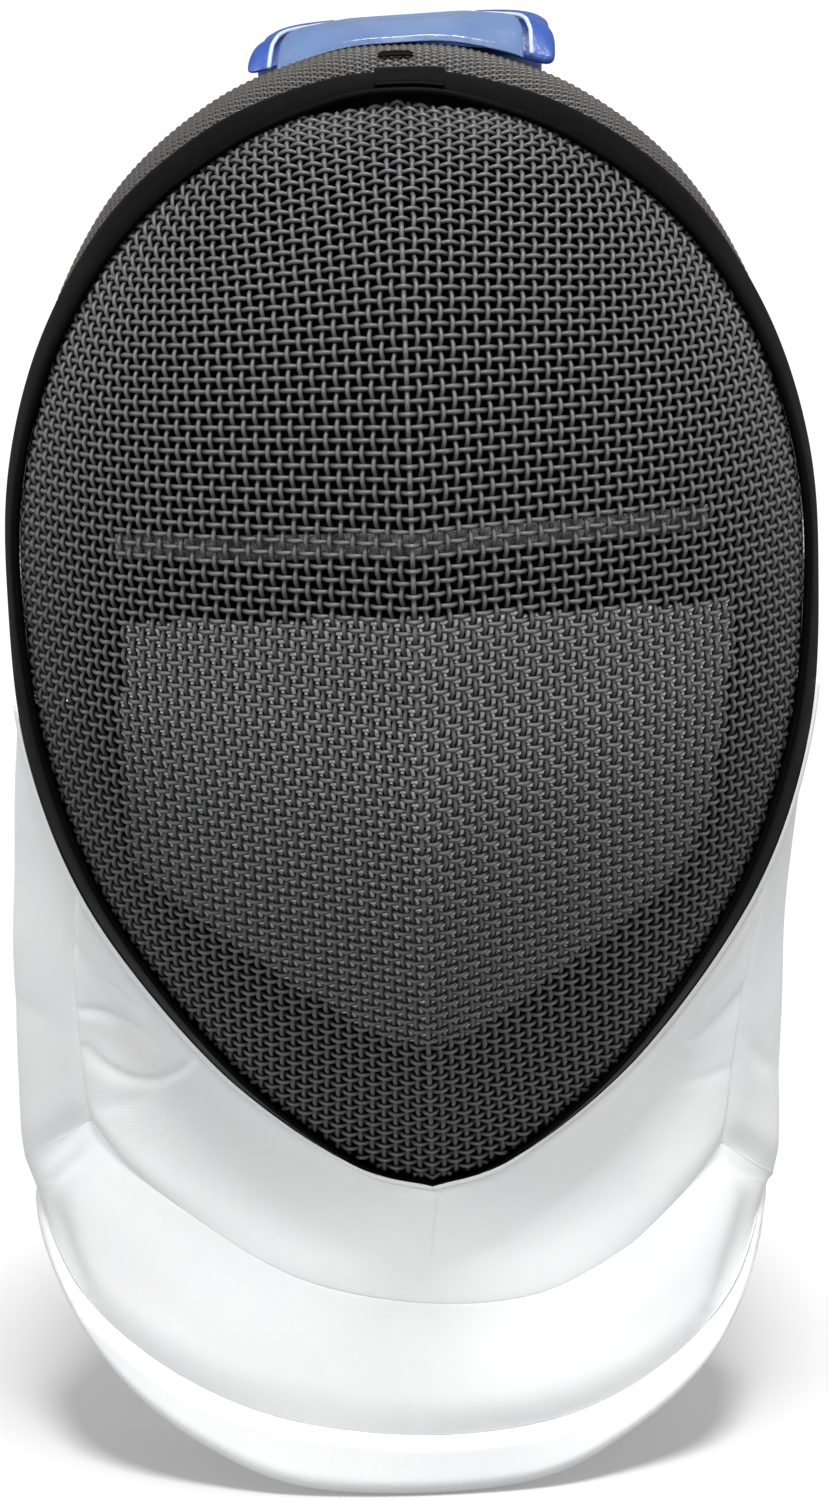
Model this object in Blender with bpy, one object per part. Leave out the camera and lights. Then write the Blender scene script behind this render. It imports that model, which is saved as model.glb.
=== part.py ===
"""A fencing mask: woven wire bowl, trim, wire crown, padded lining, quilted bib and spring tongue.

Every table and size below is in millimetres. They are measured in the face frame, whose zero is the
foremost point of the crease in the wire bowl: x to the wearer's left, y back towards the head, z up.
place() moves finished points to the part's own frame, whose zero is the seat on top of the head.
"""
import bpy
import numpy as np

MM = 0.001
SEAT_Y = 119.0            # the seat under the crown lining, behind the foremost point of the crease
SEAT_Z = 111.6            # and above it
GAP = 0.35                # air kept between two pieces that touch

# ---------------------------------------------------------------- driving tables

# The outer edge of the trim: half its width at each height, how far back its front edge lies there,
# how far the front edge steps inwards from the outer one, and the thickness of the band.
TRIM_COLUMNS = ("half_width", "height", "front_depth", "step", "thickness")
TRIM_ROWS = (
    (0.0, 118.5, 71.5, 5.1, 2.4),
    (20.0, 116.7, 71.6, 6.2, 2.4),
    (48.0, 106.2, 71.9, 7.3, 2.4),
    (74.9, 85.0, 72.3, 7.2, 2.4),
    (94.5, 54.0, 73.0, 5.9, 2.4),
    (105.2, 20.0, 73.7, 5.3, 2.4),
    (107.8, -15.0, 74.1, 5.3, 2.4),
    (105.0, -62.0, 75.2, 7.8, 2.3),
    (89.9, -107.0, 76.1, 8.6, 2.1),
    (57.8, -152.0, 77.3, 7.3, 1.8),
    (23.4, -179.3, 77.9, 5.4, 1.5),
    (0.0, -186.8, 78.0, 4.8, 1.4),
)
TRIM_WIDTH = 15.0         # from its front edge to its back edge
JOINT_THICKNESS = 1.0     # of the lapped end on top of it
BOWL_CLEARANCE = 0.75     # between the bowl's edge and the inner side of the trim
TRIM_TUCK = 3.0           # how far the wire bowl runs in under the trim

# The crease of the wire bowl, seen from the side.
CREASE_COLUMNS = ("depth", "height")
CREASE_ROWS = (
    (75.6, 111.0),
    (52.0, 103.2),
    (34.7, 92.1),
    (18.3, 73.3),
    (7.0, 48.0),
    (0.6, 18.0),
    (0.3, -8.0),
    (3.2, -30.4),
    (9.4, -63.7),
    (23.8, -99.7),
    (47.3, -139.5),
    (82.0, -181.7),
)
KEEL_HEIGHT = 1.7         # the crease stands this far out of the smooth bowl
KEEL_REACH = 12.0         # and sinks back into it over this distance to each side

BOWL_TOP = 111.5          # first and last row of the wire bowl
BOWL_BOTTOM = -180.4
MESH_THICKNESS = 2.0      # one woven layer: two wires on top of each other
DOUBLE_OFFSET = 3.0       # the second layer lies this far inside the first
DOUBLE_COLUMNS = ("height", "right", "left")
DOUBLE_ROWS = (
    (-16.0, -75.5, 83.0),
    (-45.0, -76.5, 80.0),
    (-73.0, -77.5, 76.0),
    (-88.0, -75.0, 70.0),
    (-97.0, -63.0, 62.0),
    (-107.0, -49.0, 48.0),
    (-118.0, -34.0, 32.0),
    (-133.0, -11.0, 10.0),
)
DOUBLE_RISE = 8.0         # its upper edge is this much higher at the crease
DOUBLE_RISE_ROWS = 44.0   # the rows below it level out over this height

CROWN_RADIUS = 107.0      # of its curve from front to back, seen from the side
CROWN_CENTRE_Y = 119.0
CROWN_FRONT = 87.0
CROWN_CENTRE_Z = -7.0
CROWN_SIDE_END = -45.0    # the crown mesh ends at this height beside the jaw
CROWN_BACK_TOP = 185.0    # depth of its back edge over the head
CROWN_BACK_SIDE = 150.0   # and beside the jaw
CROWN_TUCK = 1.2          # how far it runs in under the trim
CROWN_INSET = (3.1, 6.6)  # its outer side below the outer edge of the trim, on top and at the ears
BINDING_RADIUS = 2.6      # the rolled edge along its back
CLIP_HALF_WIDTH = 4.6     # of the small clip on the crown mesh
CLIP_DEPTH = (103.0, 104.6, 106.2)   # its front edge, middle and back edge
CLIP_THICKNESS = 0.9

LINING_THICKNESS = 6.0
LINING_INSET = 3.6        # lining's outer side below the crown mesh's outer side
LINING_BACK_TOP = 189.0   # depth of the lining's back edge over the head
LINING_BACK_SIDE = 165.0  # and beside the jaw
NECK_FLAP_THICKNESS = 2.4
NECK_FLAP_BOTTOM = -195.0
NECK_FLAP_HALF_WIDTH = 73.0
NECK_FLAP_DEPTH = (128.0, 216.0)   # of its lower edge: beside the jaw and behind the neck
NECK_FLAP_SWELL = 27.0    # it swells this far back between its two edges
NECK_FLAP_DRAW = 5.0      # and is drawn in this far beside the jaw
NECK_SLIT = 1.0           # half the slit between the two flaps
NECK_FLAP_LAP = 5.0       # how far it runs up inside the lining's edge
NECK_FLAP_AIR = 0.9       # between the flap and the lining's inner side
CHIN_PAD_THICKNESS = 4.0
CHIN_PAD_OFFSET = 7.5     # behind the front mesh
CHIN_PAD_START = 7.15     # the station of the trim where its upper ends lie
CHIN_PAD_AIR = 2.5        # between its outer edge and the trim's front edge, seen from the front
CHIN_PAD_CENTRE = -60.0   # its inner edge is its outer edge drawn smaller about this height,
CHIN_PAD_SCALE = (0.91, 0.70)   # by these shares beside the cheeks and under the chin

BROW_BAND_HEIGHT = 4.4    # height of the middle of the light band that crosses the inside of the bowl
BROW_BAND_WIDTH = 6.4
BROW_BAND_THICKNESS = 1.5
BROW_BAND_REACH = 76.0    # it meets the bowl's inner side this far from the middle
BROW_BAND_DEPTH = 30.0    # and lies this deep in the middle
BROW_BAND_AIR = 2.0       # between its ends and the bowl

# The bib's sewn lines. Each row is a station round the neck, from the middle of the front to the back
# edge, and each pair of columns is where a sewn line crosses it.
BIB_COLUMNS = ("top_x", "top_y", "top_z", "mid_x", "mid_y", "mid_z",
               "seam_x", "seam_y", "seam_z", "hem_x", "hem_y", "hem_z")
BIB_ROWS = (
    (0.0, 93.6, -186.8, 0.0, 87.0, -219.5, 0.0, 86.0, -257.8, 0.0, 86.0, -275.0),
    (31.3, 93.5, -173.6, 31.0, 88.5, -215.5, 32.0, 88.0, -255.0, 34.0, 88.5, -272.6),
    (57.8, 92.8, -152.0, 56.0, 93.5, -203.0, 56.0, 94.0, -248.0, 58.0, 94.5, -262.5),
    (79.7, 92.0, -124.5, 75.0, 99.5, -188.5, 77.0, 102.5, -235.5, 79.5, 103.0, -247.5),
    (93.9, 91.4, -98.0, 87.0, 107.0, -176.3, 92.0, 114.5, -221.0, 95.0, 115.0, -228.5),
    (106.3, 91.0, -48.5, 105.0, 131.0, -194.0, 103.0, 136.0, -202.0, 103.5, 137.0, -212.0),
    (101.0, 151.0, -47.0, 101.0, 156.0, -194.0, 100.0, 158.0, -200.0, 101.0, 159.0, -209.5),
)
BIB_CORNERS = {"mid": 4, "top": 5}   # the row where a sewn line turns a corner
SIDE_STATION = 4          # the row of BIB_ROWS that the side seam runs down
BIB_THICKNESS = 5.0
BIB_HEM_THICKNESS = 3.0
BIB_UPPER_PUFF = -0.8     # how far each panel swells between its seams; the upper one hangs hollow
BIB_SIDE_PUFF = 0.8
BIB_LOWER_PUFF = 2.4
BIB_HEM_PUFF = 2.0
BIB_END_GAP = 0.006       # each panel ends this share of a station before its neighbour
BIB_SEAM_GAP = 0.45       # and its rows are pulled in this far from a sewn line
NECK_CENTRE_Y = 150.0     # the cloth swells away from here
NECK_FLATNESS = 1.2       # and more to the sides than to the front
# The bib hangs plumb while the mask leans, so its sewn lines swing to one side: how far, in rows from
# the right back edge round the front to the left one.
BIB_SWING_COLUMNS = ("mid", "seam", "hem")
BIB_SWING_ROWS = (
    (-9.0, -9.5, -9.5),
    (-9.8, -9.0, -8.0),
    (-7.6, -10.0, -7.3),
    (-8.3, -9.0, -7.2),
    (-7.4, -7.9, -7.6),
    (-5.8, -6.4, -6.4),
    (-4.3, -5.2, -5.2),
    (-4.3, -5.6, -5.8),
    (-4.9, -5.7, -5.7),
    (-6.0, -5.2, -6.0),
    (-6.1, -6.0, -7.5),
    (-8.5, -9.0, -9.3),
    (-8.5, -9.3, -9.5),
)
BIB_FALLS = (0.5, 0.9, 1.0)   # share of the way down at which those three lines lie
BIB_SKEW = 6.3            # and its middle seam sinks this much on the wearer's left and rises as much on
BIB_SKEW_REACH = 60.0     # the right, in full from this distance from the middle on
BIB_SKEW_ROWS = ((0.0, 0.0), (0.5, 1.0), (0.9, 0.35), (1.0, 0.0))   # share of the fall, share of it

TONGUE_HALF_WIDTH = 42.4
TONGUE_THICKNESS = 12.0
TONGUE_NARROWING = 0.06   # it narrows by this share
TONGUE_NARROWED = 30.0    # over this length from its front end
TONGUE_SIDE_ROUNDING = 0.55   # powers of the cosine and the sine in its cross-section: 1 makes an
TONGUE_TOP_ROUNDING = 0.8     # ellipse, and less makes a fuller oval
TONGUE_CENTRE_Y = 150.0   # centre of the arc that the tongue follows behind the head
TONGUE_CENTRE_Z = 22.7
TONGUE_RADIUS = 98.5      # to the middle of the padding
TONGUE_ARC = (6.0, 27.0, 49.0, 71.0, 93.0, 115.0)   # degrees from straight up
TONGUE_FRONT_COLUMNS = ("depth", "height", "thickness")
TONGUE_FRONT_ROWS = (
    (134.0, 121.9, 2.2),
    (147.0, 121.9, 6.4),
)
PANEL_HALF_WIDTH = 32.0
PANEL_THICKNESS = 1.0
PANEL_REACH = (0.015, 0.125)   # where the lighter panel starts and ends along the tongue
PANEL_CORNER = 0.045      # its far corners are round over this share of the tongue
PIPING_RADIUS = 0.9
PIPING_OFFSET = 2.2       # from the panel's edge to the middle of the piping


# ---------------------------------------------------------------- curves and surfaces

def column(rows, names, name):
    """One named column of a table as an array."""
    return np.array([row[names.index(name)] for row in rows], dtype=float)


def smooth(values, at, mirror=None, corner=False):
    """A Catmull-Rom curve through evenly numbered values, read at the positions in `at`.

    mirror is +1 or -1 where the curve goes on past both ends as its own (or its negated) reflection;
    None lets the ends run on straight, and corner lets only the last end do so.
    """
    values = np.asarray(values, dtype=float)
    first = 2 * values[0] - values[1] if mirror is None else mirror * values[1]
    last = 2 * values[-1] - values[-2] if mirror is None or corner else mirror * values[-2]
    padded = np.concatenate(([first], values, [last]))
    at = np.asarray(at, dtype=float)
    left = np.clip(np.floor(at).astype(int), 0, len(values) - 2)
    t = at - left
    p0, p1, p2, p3 = (padded[left + k] for k in range(4))
    return 0.5 * (2 * p1 + (p2 - p0) * t + (2 * p0 - 5 * p1 + 4 * p2 - p3) * t ** 2
                  + (3 * p1 - p0 - 3 * p2 + p3) * t ** 3)


def trim_outline(stations):
    """The left half of the trim at stations 0 to 11: a dictionary of its outer edge, the depth, step
    and thickness of its band, and the direction straight out of the outline."""
    def curve(name, at, mirror, corner=False):
        return smooth(column(TRIM_ROWS, TRIM_COLUMNS, name), at, mirror, corner)

    small = 0.01
    ahead = np.clip(stations + small, 0, len(TRIM_ROWS) - 1)
    behind = np.clip(stations - small, 0, len(TRIM_ROWS) - 1)
    along_x = curve("half_width", ahead, -1) - curve("half_width", behind, -1)
    along_z = curve("height", ahead, 1, True) - curve("height", behind, 1, True)
    length = np.hypot(along_x, along_z)
    width = np.maximum(curve("half_width", stations, -1), 0.0)
    height = curve("height", stations, 1, True)
    on_axis = width < 0.5
    return {
        "x": width, "z": height,
        "depth": curve("front_depth", stations, 1),
        "step": curve("step", stations, 1),
        "thickness": curve("thickness", stations, 1),
        "out_x": np.where(on_axis, 0.0, -along_z / length),
        "out_z": np.where(on_axis, np.sign(height), along_x / length),
    }


LAST_STATION = len(TRIM_ROWS) - 1
FINE = trim_outline(np.linspace(0, LAST_STATION, 221))
TUCKED_STEP = (FINE["step"] - (FINE["step"] - FINE["thickness"]) * TRIM_TUCK / TRIM_WIDTH
               + BOWL_CLEARANCE)
INNER_X = FINE["x"] - FINE["out_x"] * TUCKED_STEP
INNER_Z = FINE["z"] - FINE["out_z"] * TUCKED_STEP


def bowl_half_width(z):
    """Half the width of the wire bowl at a height: the trim's inner side where the bowl runs in."""
    return np.interp(z, INNER_Z[::-1], np.maximum(INNER_X[::-1], 0.0))


def rim_depth(z):
    """How far back the bowl's rim lies at a height, under the trim."""
    return np.interp(z, INNER_Z[::-1], FINE["depth"][::-1]) + TRIM_TUCK


CREASE_AT = np.linspace(0, len(CREASE_ROWS) - 1, 201)
CREASE_Y = smooth(column(CREASE_ROWS, CREASE_COLUMNS, "depth"), CREASE_AT)
CREASE_Z = smooth(column(CREASE_ROWS, CREASE_COLUMNS, "height"), CREASE_AT)


def crease_depth(z):
    """How far back the crease lies at a height."""
    return np.interp(z, CREASE_Z[::-1], CREASE_Y[::-1])


def bowl_depth(x, z):
    """Depth of the wire bowl at a place seen from the front.

    Each level section runs from the crease to the rim as m*s + c*s^2 + e*s^6, where s goes from 0 to
    1: nearly straight beside the crease, then turning back sharply. Low sections are straighter.
    """
    half = np.maximum(bowl_half_width(z), 0.5)
    s = np.clip(np.abs(x) / half, 0.0, 1.0)
    low = np.clip((-z - 40.0) / 110.0, 0.0, 1.0)
    m = 0.56 + 0.29 * low
    e = 0.35 - 0.20 * low
    shape = m * s + (1.0 - m - e) * s ** 2 + e * s ** 6
    reach = np.maximum(rim_depth(z) - crease_depth(z), 0.0)
    keel = KEEL_HEIGHT * (1.0 - np.exp(-np.abs(x) / KEEL_REACH)) * (1.0 - s)
    return crease_depth(z) + reach * shape + keel * np.clip(reach / 30.0, 0.0, 1.0)


OUTLINE_ANGLE = np.arctan2(FINE["x"], FINE["z"] - CROWN_CENTRE_Z)
OUTLINE_RADIUS = np.hypot(FINE["x"], FINE["z"] - CROWN_CENTRE_Z)


def circle_height(depth, radius):
    """Height of the crown's side-view circle at a depth, as a share of its radius."""
    return np.sqrt(np.clip(1 - ((depth - CROWN_CENTRE_Y) / radius) ** 2, 0, 1))


CROWN_START = circle_height(CROWN_FRONT, CROWN_RADIUS)


def unit(vectors):
    """Each vector divided by its own length."""
    return vectors / np.maximum(np.linalg.norm(vectors, axis=-1, keepdims=True), 1e-9)


def grid_normals(points):
    """Unit normals of a grid of points, from the differences along its two directions."""
    return unit(np.cross(np.gradient(points, axis=1), np.gradient(points, axis=0)))


# ---------------------------------------------------------------- meshes and materials

def clear_scene():
    for old in list(bpy.data.objects):
        bpy.data.objects.remove(old, do_unlink=True)


def make_material(name, color, roughness, metallic=0.0):
    material = bpy.data.materials.new(name)
    material.use_nodes = True
    shader = material.node_tree.nodes["Principled BSDF"]
    shader.inputs["Base Color"].default_value = (*color, 1.0)
    shader.inputs["Roughness"].default_value = roughness
    shader.inputs["Metallic"].default_value = metallic
    return material


def place(points):
    """Face frame in millimetres to the part's frame in metres."""
    return (np.asarray(points) - np.array([0.0, SEAT_Y, SEAT_Z])) * MM


def add_object(name, vertices, faces, material, sharp_angle=40.0):
    mesh = bpy.data.meshes.new(name)
    mesh.from_pydata(place(vertices).tolist(), [], faces)
    mesh.update()
    mesh.shade_smooth()
    mesh.set_sharp_from_angle(angle=np.radians(sharp_angle))
    mesh.materials.append(material)
    thing = bpy.data.objects.new(name, mesh)
    bpy.context.scene.collection.objects.link(thing)
    if signed_volume(mesh) < 0:
        mesh.flip_normals()
    return thing


def quad_faces(rows, columns, loop_rows=False, loop_columns=False):
    """Faces of a grid whose vertices are numbered row by row."""
    faces = []
    for i in range(rows if loop_rows else rows - 1):
        for j in range(columns if loop_columns else columns - 1):
            a = i * columns + j
            b = i * columns + (j + 1) % columns
            c = ((i + 1) % rows) * columns + (j + 1) % columns
            d = ((i + 1) % rows) * columns + j
            faces.append((a, b, c, d))
    return faces


def add_shell(name, outer, inner, material):
    """A closed wall between two grids of the same size; outer lies on the side the faces point to."""
    rows, columns = outer.shape[:2]
    count = rows * columns
    faces = quad_faces(rows, columns)
    faces += [tuple(reversed([k + count for k in face])) for face in quad_faces(rows, columns)]
    edge = [(0, j) for j in range(columns)] + [(i, columns - 1) for i in range(1, rows)]
    edge += [(rows - 1, j) for j in range(columns - 2, -1, -1)] + [(i, 0) for i in range(rows - 2, 0, -1)]
    ring = [i * columns + j for i, j in edge]
    for here, after in zip(ring, ring[1:] + ring[:1]):
        faces.append((after, here, here + count, after + count))
    vertices = np.concatenate([outer.reshape(-1, 3), inner.reshape(-1, 3)])
    return add_object(name, vertices, faces, material)


ABOVE = (0, 130, 400)     # points well outside the mask, on the side that a wall faces
IN_FRONT = (0, -400, 0)


def add_wall(name, surface, thickness, material, outward):
    """A wall of even thickness inside a surface; outward is a point well outside its middle."""
    normal = grid_normals(surface)
    middle = tuple(n // 2 for n in surface.shape[:2])
    if np.dot(normal[middle], np.asarray(outward) - surface[middle]) < 0:
        surface = surface[:, ::-1]
        normal = -normal[:, ::-1]
    thickness = np.broadcast_to(np.asarray(thickness, dtype=float), surface.shape[:2])
    inner = surface - normal * thickness[..., None]
    return add_shell(name, surface, inner, material)


def add_tube(name, rings, material, loop=False, sharp_angle=40.0):
    """A closed body from rings of points; open ends are filled."""
    count, sides = rings.shape[:2]
    faces = quad_faces(count, sides, loop_rows=loop, loop_columns=True)
    if not loop:
        faces.append(tuple(range(sides - 1, -1, -1)))
        faces.append(tuple(range((count - 1) * sides, count * sides)))
    return add_object(name, rings.reshape(-1, 3), faces, material, sharp_angle)


def signed_volume(mesh):
    """Positive where the faces point outwards."""
    mesh.calc_loop_triangles()
    total = 0.0
    for triangle in mesh.loop_triangles:
        a, b, c = (mesh.vertices[k].co for k in triangle.vertices)
        total += a.dot(b.cross(c))
    return total / 6.0


def frame_rings(path, outline_x, outline_n, side):
    """Rings round a path: each outline point goes outline_x along `side` and outline_n along the
    normal, which is square to both the path and `side`."""
    normal = unit(np.cross(side, np.gradient(path, axis=0)))
    return (path[:, None, :] + outline_x[..., None] * side[:, None, :]
            + outline_n[..., None] * normal[:, None, :])


# ---------------------------------------------------------------- the pieces

def build_front_mesh(material):
    heights = np.interp(np.linspace(0, 1, 23), np.linspace(0, 1, 201), CREASE_Z)
    heights[0] = BOWL_TOP
    heights[-1] = BOWL_BOTTOM
    across = np.linspace(-1, 1, 21)
    z = np.repeat(heights[:, None], len(across), axis=1)
    x = across[None, :] * bowl_half_width(z)
    add_layer("front_mesh", x, z, 0.0, MESH_THICKNESS, material)


def build_double_mesh(material):
    """The second layer: cut to the outline in its table, with its upper rows higher at the crease."""
    heights = column(DOUBLE_ROWS, DOUBLE_COLUMNS, "height")
    rows = np.linspace(heights[0], heights[-1], 13)
    right = np.interp(rows, heights[::-1], column(DOUBLE_ROWS, DOUBLE_COLUMNS, "right")[::-1])
    left = np.interp(rows, heights[::-1], column(DOUBLE_ROWS, DOUBLE_COLUMNS, "left")[::-1])
    x = right[:, None] + (left - right)[:, None] * np.linspace(0, 1, 13)[None, :]
    z = rows[:, None] + np.zeros((1, 13))
    fade = np.clip((z - heights[0] + DOUBLE_RISE_ROWS) / DOUBLE_RISE_ROWS, 0, 1)
    z = z + DOUBLE_RISE * (1 - np.abs(x) / np.abs(x).max()) * fade
    add_layer("double_mesh", x, z, DOUBLE_OFFSET, MESH_THICKNESS, material)


def add_layer(name, x, z, offset, thickness, material):
    """A layer behind the wire bowl. It is set back by offset / (its normal's share along y), which
    keeps an even distance without letting the two sides of the crease cross."""
    surface = np.stack([x, bowl_depth(x, z), z], axis=-1)
    share = np.clip(np.abs(grid_normals(surface)[..., 1]), 0.6, 1.0)
    outer, inner = surface.copy(), surface.copy()
    outer[..., 1] += offset / share
    inner[..., 1] += (offset + thickness) / share
    return add_shell(name, outer, inner, material)


def build_trim(material):
    half = trim_outline(np.linspace(0, LAST_STATION, 37))
    rings = []
    for sign in (1, -1):
        order = range(37) if sign == 1 else range(35, 0, -1)
        rings += [trim_section(half, k, sign) for k in order]
    return add_tube("trim", np.array(rings), material, loop=True, sharp_angle=50.0)


def trim_section(half, k, sign):
    """One cross-section of the trim: a flat band with rounded edges, leaning out towards the back."""
    front_edge, along, outwards = trim_frame(half, k, sign)
    profile = ((0.0, -0.15), (0.06, 0.0), (0.94, 0.0), (1.0, -0.15), (1.0, -0.85), (0.94, -1.0),
               (0.06, -1.0), (0.0, -0.85))
    return [front_edge + along * a + outwards * b * half["thickness"][k] for a, b in profile]


def trim_frame(half, k, sign):
    """The trim's front edge, the vector from there to its back edge, and the direction off the band."""
    out = np.array([sign * half["out_x"][k], 0.0, half["out_z"][k]])
    back_edge = np.array([sign * half["x"][k], half["depth"][k] + TRIM_WIDTH, half["z"][k]])
    front_edge = back_edge - out * (half["step"][k] - half["thickness"][k])
    front_edge[1] = half["depth"][k]
    along = back_edge - front_edge
    return front_edge, along, unit(np.cross(along, np.cross(out, along)))


def build_trim_joint(material):
    """The lapped end of the trim: a short strip that lies on the trim at the top of the mask."""
    half = trim_outline(np.linspace(0, 0.5, 9))
    places = [(k, -1) for k in range(8, 0, -1)] + [(k, 1) for k in range(9)]
    outer, inner = [], []
    for k, sign in places:
        front_edge, along, lift = trim_frame(half, k, sign)
        strip = np.array([front_edge + along * a for a in (0.03, 0.35, 0.65, 0.97)])
        inner.append(strip + lift * GAP)
        outer.append(strip + lift * (GAP + JOINT_THICKNESS))
    return add_shell("trim_joint", np.array(outer), np.array(inner), material)


def crown_grid(rows, columns, inset, back_top=CROWN_BACK_TOP, back_side=CROWN_BACK_SIDE):
    """The crown dome from the trim back to an edge; columns run from jaw to jaw over the top.

    Seen from the front each row is the trim's outline drawn larger or smaller: its scale follows
    the circle sqrt(1 - (d / radius)^2), where d is how far behind the dome's centre the row lies,
    and is 1 at the trim.
    """
    side_end = np.interp(CROWN_SIDE_END, FINE["z"][::-1], OUTLINE_ANGLE[::-1])
    turn = np.linspace(-side_end, side_end, columns)
    height = np.interp(np.abs(turn), OUTLINE_ANGLE, FINE["z"])
    share = np.clip((height - CROWN_SIDE_END) / (FINE["z"][0] - CROWN_SIDE_END), 0, 1)
    back = back_side + (back_top - back_side) * share ** 0.8
    front = np.interp(np.abs(turn), OUTLINE_ANGLE, FINE["depth"]) + TRIM_WIDTH - CROWN_TUCK
    depth = front + (back - front)[None, :] * np.linspace(0, 1, rows)[:, None]
    turn = np.repeat(turn[None, :], rows, axis=0)
    below = CROWN_INSET[0] + (CROWN_INSET[1] - CROWN_INSET[0]) * np.sin(turn) ** 2
    outline = (np.interp(np.abs(turn), OUTLINE_ANGLE, OUTLINE_RADIUS) - below) / CROWN_START
    reach = (outline - inset) * circle_height(depth, CROWN_RADIUS - inset)
    return np.stack([reach * np.sin(turn), depth, CROWN_CENTRE_Z + reach * np.cos(turn)], axis=-1)


def build_crown_mesh(material):
    return add_wall("crown_mesh", crown_grid(7, 33, 0.0), MESH_THICKNESS, material, ABOVE)


def build_crown_binding(material):
    """A rolled edge along the back of the crown mesh."""
    edge = crown_grid(7, 33, MESH_THICKNESS / 2)
    outwards = unit(edge[-1] - edge[-2])
    path = edge[-1] + outwards * (BINDING_RADIUS + GAP)
    return round_tube("crown_binding", path, outwards, BINDING_RADIUS, 6, material)


def round_tube(name, path, side, radius, sides, material):
    """A round cord along a path; side is any direction across it at each point."""
    along = unit(np.gradient(path, axis=0))
    side = unit(side - along * np.sum(side * along, axis=1, keepdims=True))
    up = np.cross(along, side)
    turn = np.linspace(0, 2 * np.pi, sides, endpoint=False)
    rings = (path[:, None, :] + radius * np.cos(turn)[None, :, None] * side[:, None, :]
             + radius * np.sin(turn)[None, :, None] * up[:, None, :])
    return add_tube(name, rings, material)


def build_crown_clip(material):
    """The small clip on the crown mesh behind the trim: a flat bar that follows the wire."""
    x = np.linspace(-CLIP_HALF_WIDTH, CLIP_HALF_WIDTH, 7)[None, :] + np.zeros((3, 1))
    y = np.array(CLIP_DEPTH)[:, None] + np.zeros((1, 7))
    z = CROWN_CENTRE_Z + dome_top(y) - 0.02 * np.abs(x)
    surface = np.stack([x, y, z + GAP + CLIP_THICKNESS], axis=-1)
    return add_wall("crown_clip", surface, CLIP_THICKNESS, material, ABOVE)


def dome_top(y):
    """Height of the crown mesh's outer side above its centre, in the middle plane."""
    return (OUTLINE_RADIUS[0] - CROWN_INSET[0]) / CROWN_START * circle_height(y, CROWN_RADIUS)


def lining_grid(rows, columns):
    """Outer side of the lining that lies under the crown mesh."""
    return crown_grid(rows, columns, LINING_INSET, LINING_BACK_TOP, LINING_BACK_SIDE)


def build_crown_lining(material):
    add_wall("crown_lining", lining_grid(8, 25), LINING_THICKNESS, material, ABOVE)


def build_neck_flap(name, sign, material):
    """One half of the soft black flap, from the lining's edge down behind the neck.

    It is drawn between two lines: the lining's edge from the top of the arch down and forward to
    the jaw, and the flap's own lower edge, a quarter of an ellipse round the neck.
    """
    inside = LINING_INSET + LINING_THICKNESS + NECK_FLAP_AIR
    grid = crown_grid(8, 25, inside, LINING_BACK_TOP - NECK_FLAP_LAP, LINING_BACK_SIDE - NECK_FLAP_LAP)
    side = grid[-2:1:-1, -1] + np.array([0.0, 0.0, NECK_FLAP_LAP])
    top = np.concatenate([grid[-1, 12:], side])
    top[:, 0] = np.maximum(top[:, 0], NECK_SLIT)
    length = np.concatenate(([0.0], np.cumsum(np.linalg.norm(np.diff(top, axis=0), axis=1))))
    turn = 0.5 * np.pi * (length / length[-1])
    front, back = NECK_FLAP_DEPTH
    low = np.stack([NECK_SLIT + (NECK_FLAP_HALF_WIDTH - NECK_SLIT) * np.sin(turn),
                    front + (back - front) * np.cos(turn),
                    np.full(len(turn), NECK_FLAP_BOTTOM)], axis=-1)
    down = np.linspace(0, 1, 7)[:, None, None]
    surface = top[None] + (low - top)[None] * down
    surface[..., 1] += NECK_FLAP_SWELL * np.sin(np.pi * down[..., 0]) * np.cos(turn)[None, :]
    surface[..., 0] -= NECK_FLAP_DRAW * np.sin(np.pi * down[..., 0]) * np.sin(turn)[None, :] ** 4
    surface[..., 0] *= sign
    add_wall(name, surface, NECK_FLAP_THICKNESS, material, (sign * 300, 400, -100))


def build_brow_band(material):
    """The light band across the inside of the bowl: a parabola from one inner side to the other."""
    x = np.linspace(-BROW_BAND_REACH, BROW_BAND_REACH, 15)[None, :] + np.zeros((3, 1))
    z = BROW_BAND_HEIGHT + BROW_BAND_WIDTH * np.linspace(-0.5, 0.5, 3)[:, None] + np.zeros((1, 15))
    ends = bowl_depth(np.array(BROW_BAND_REACH), np.array(BROW_BAND_HEIGHT))
    ends = ends + MESH_THICKNESS + BROW_BAND_AIR
    y = BROW_BAND_DEPTH + (ends - BROW_BAND_DEPTH) * (x / BROW_BAND_REACH) ** 2
    add_wall("brow_band", np.stack([x, y, z], axis=-1), BROW_BAND_THICKNESS, material, IN_FRONT)


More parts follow.
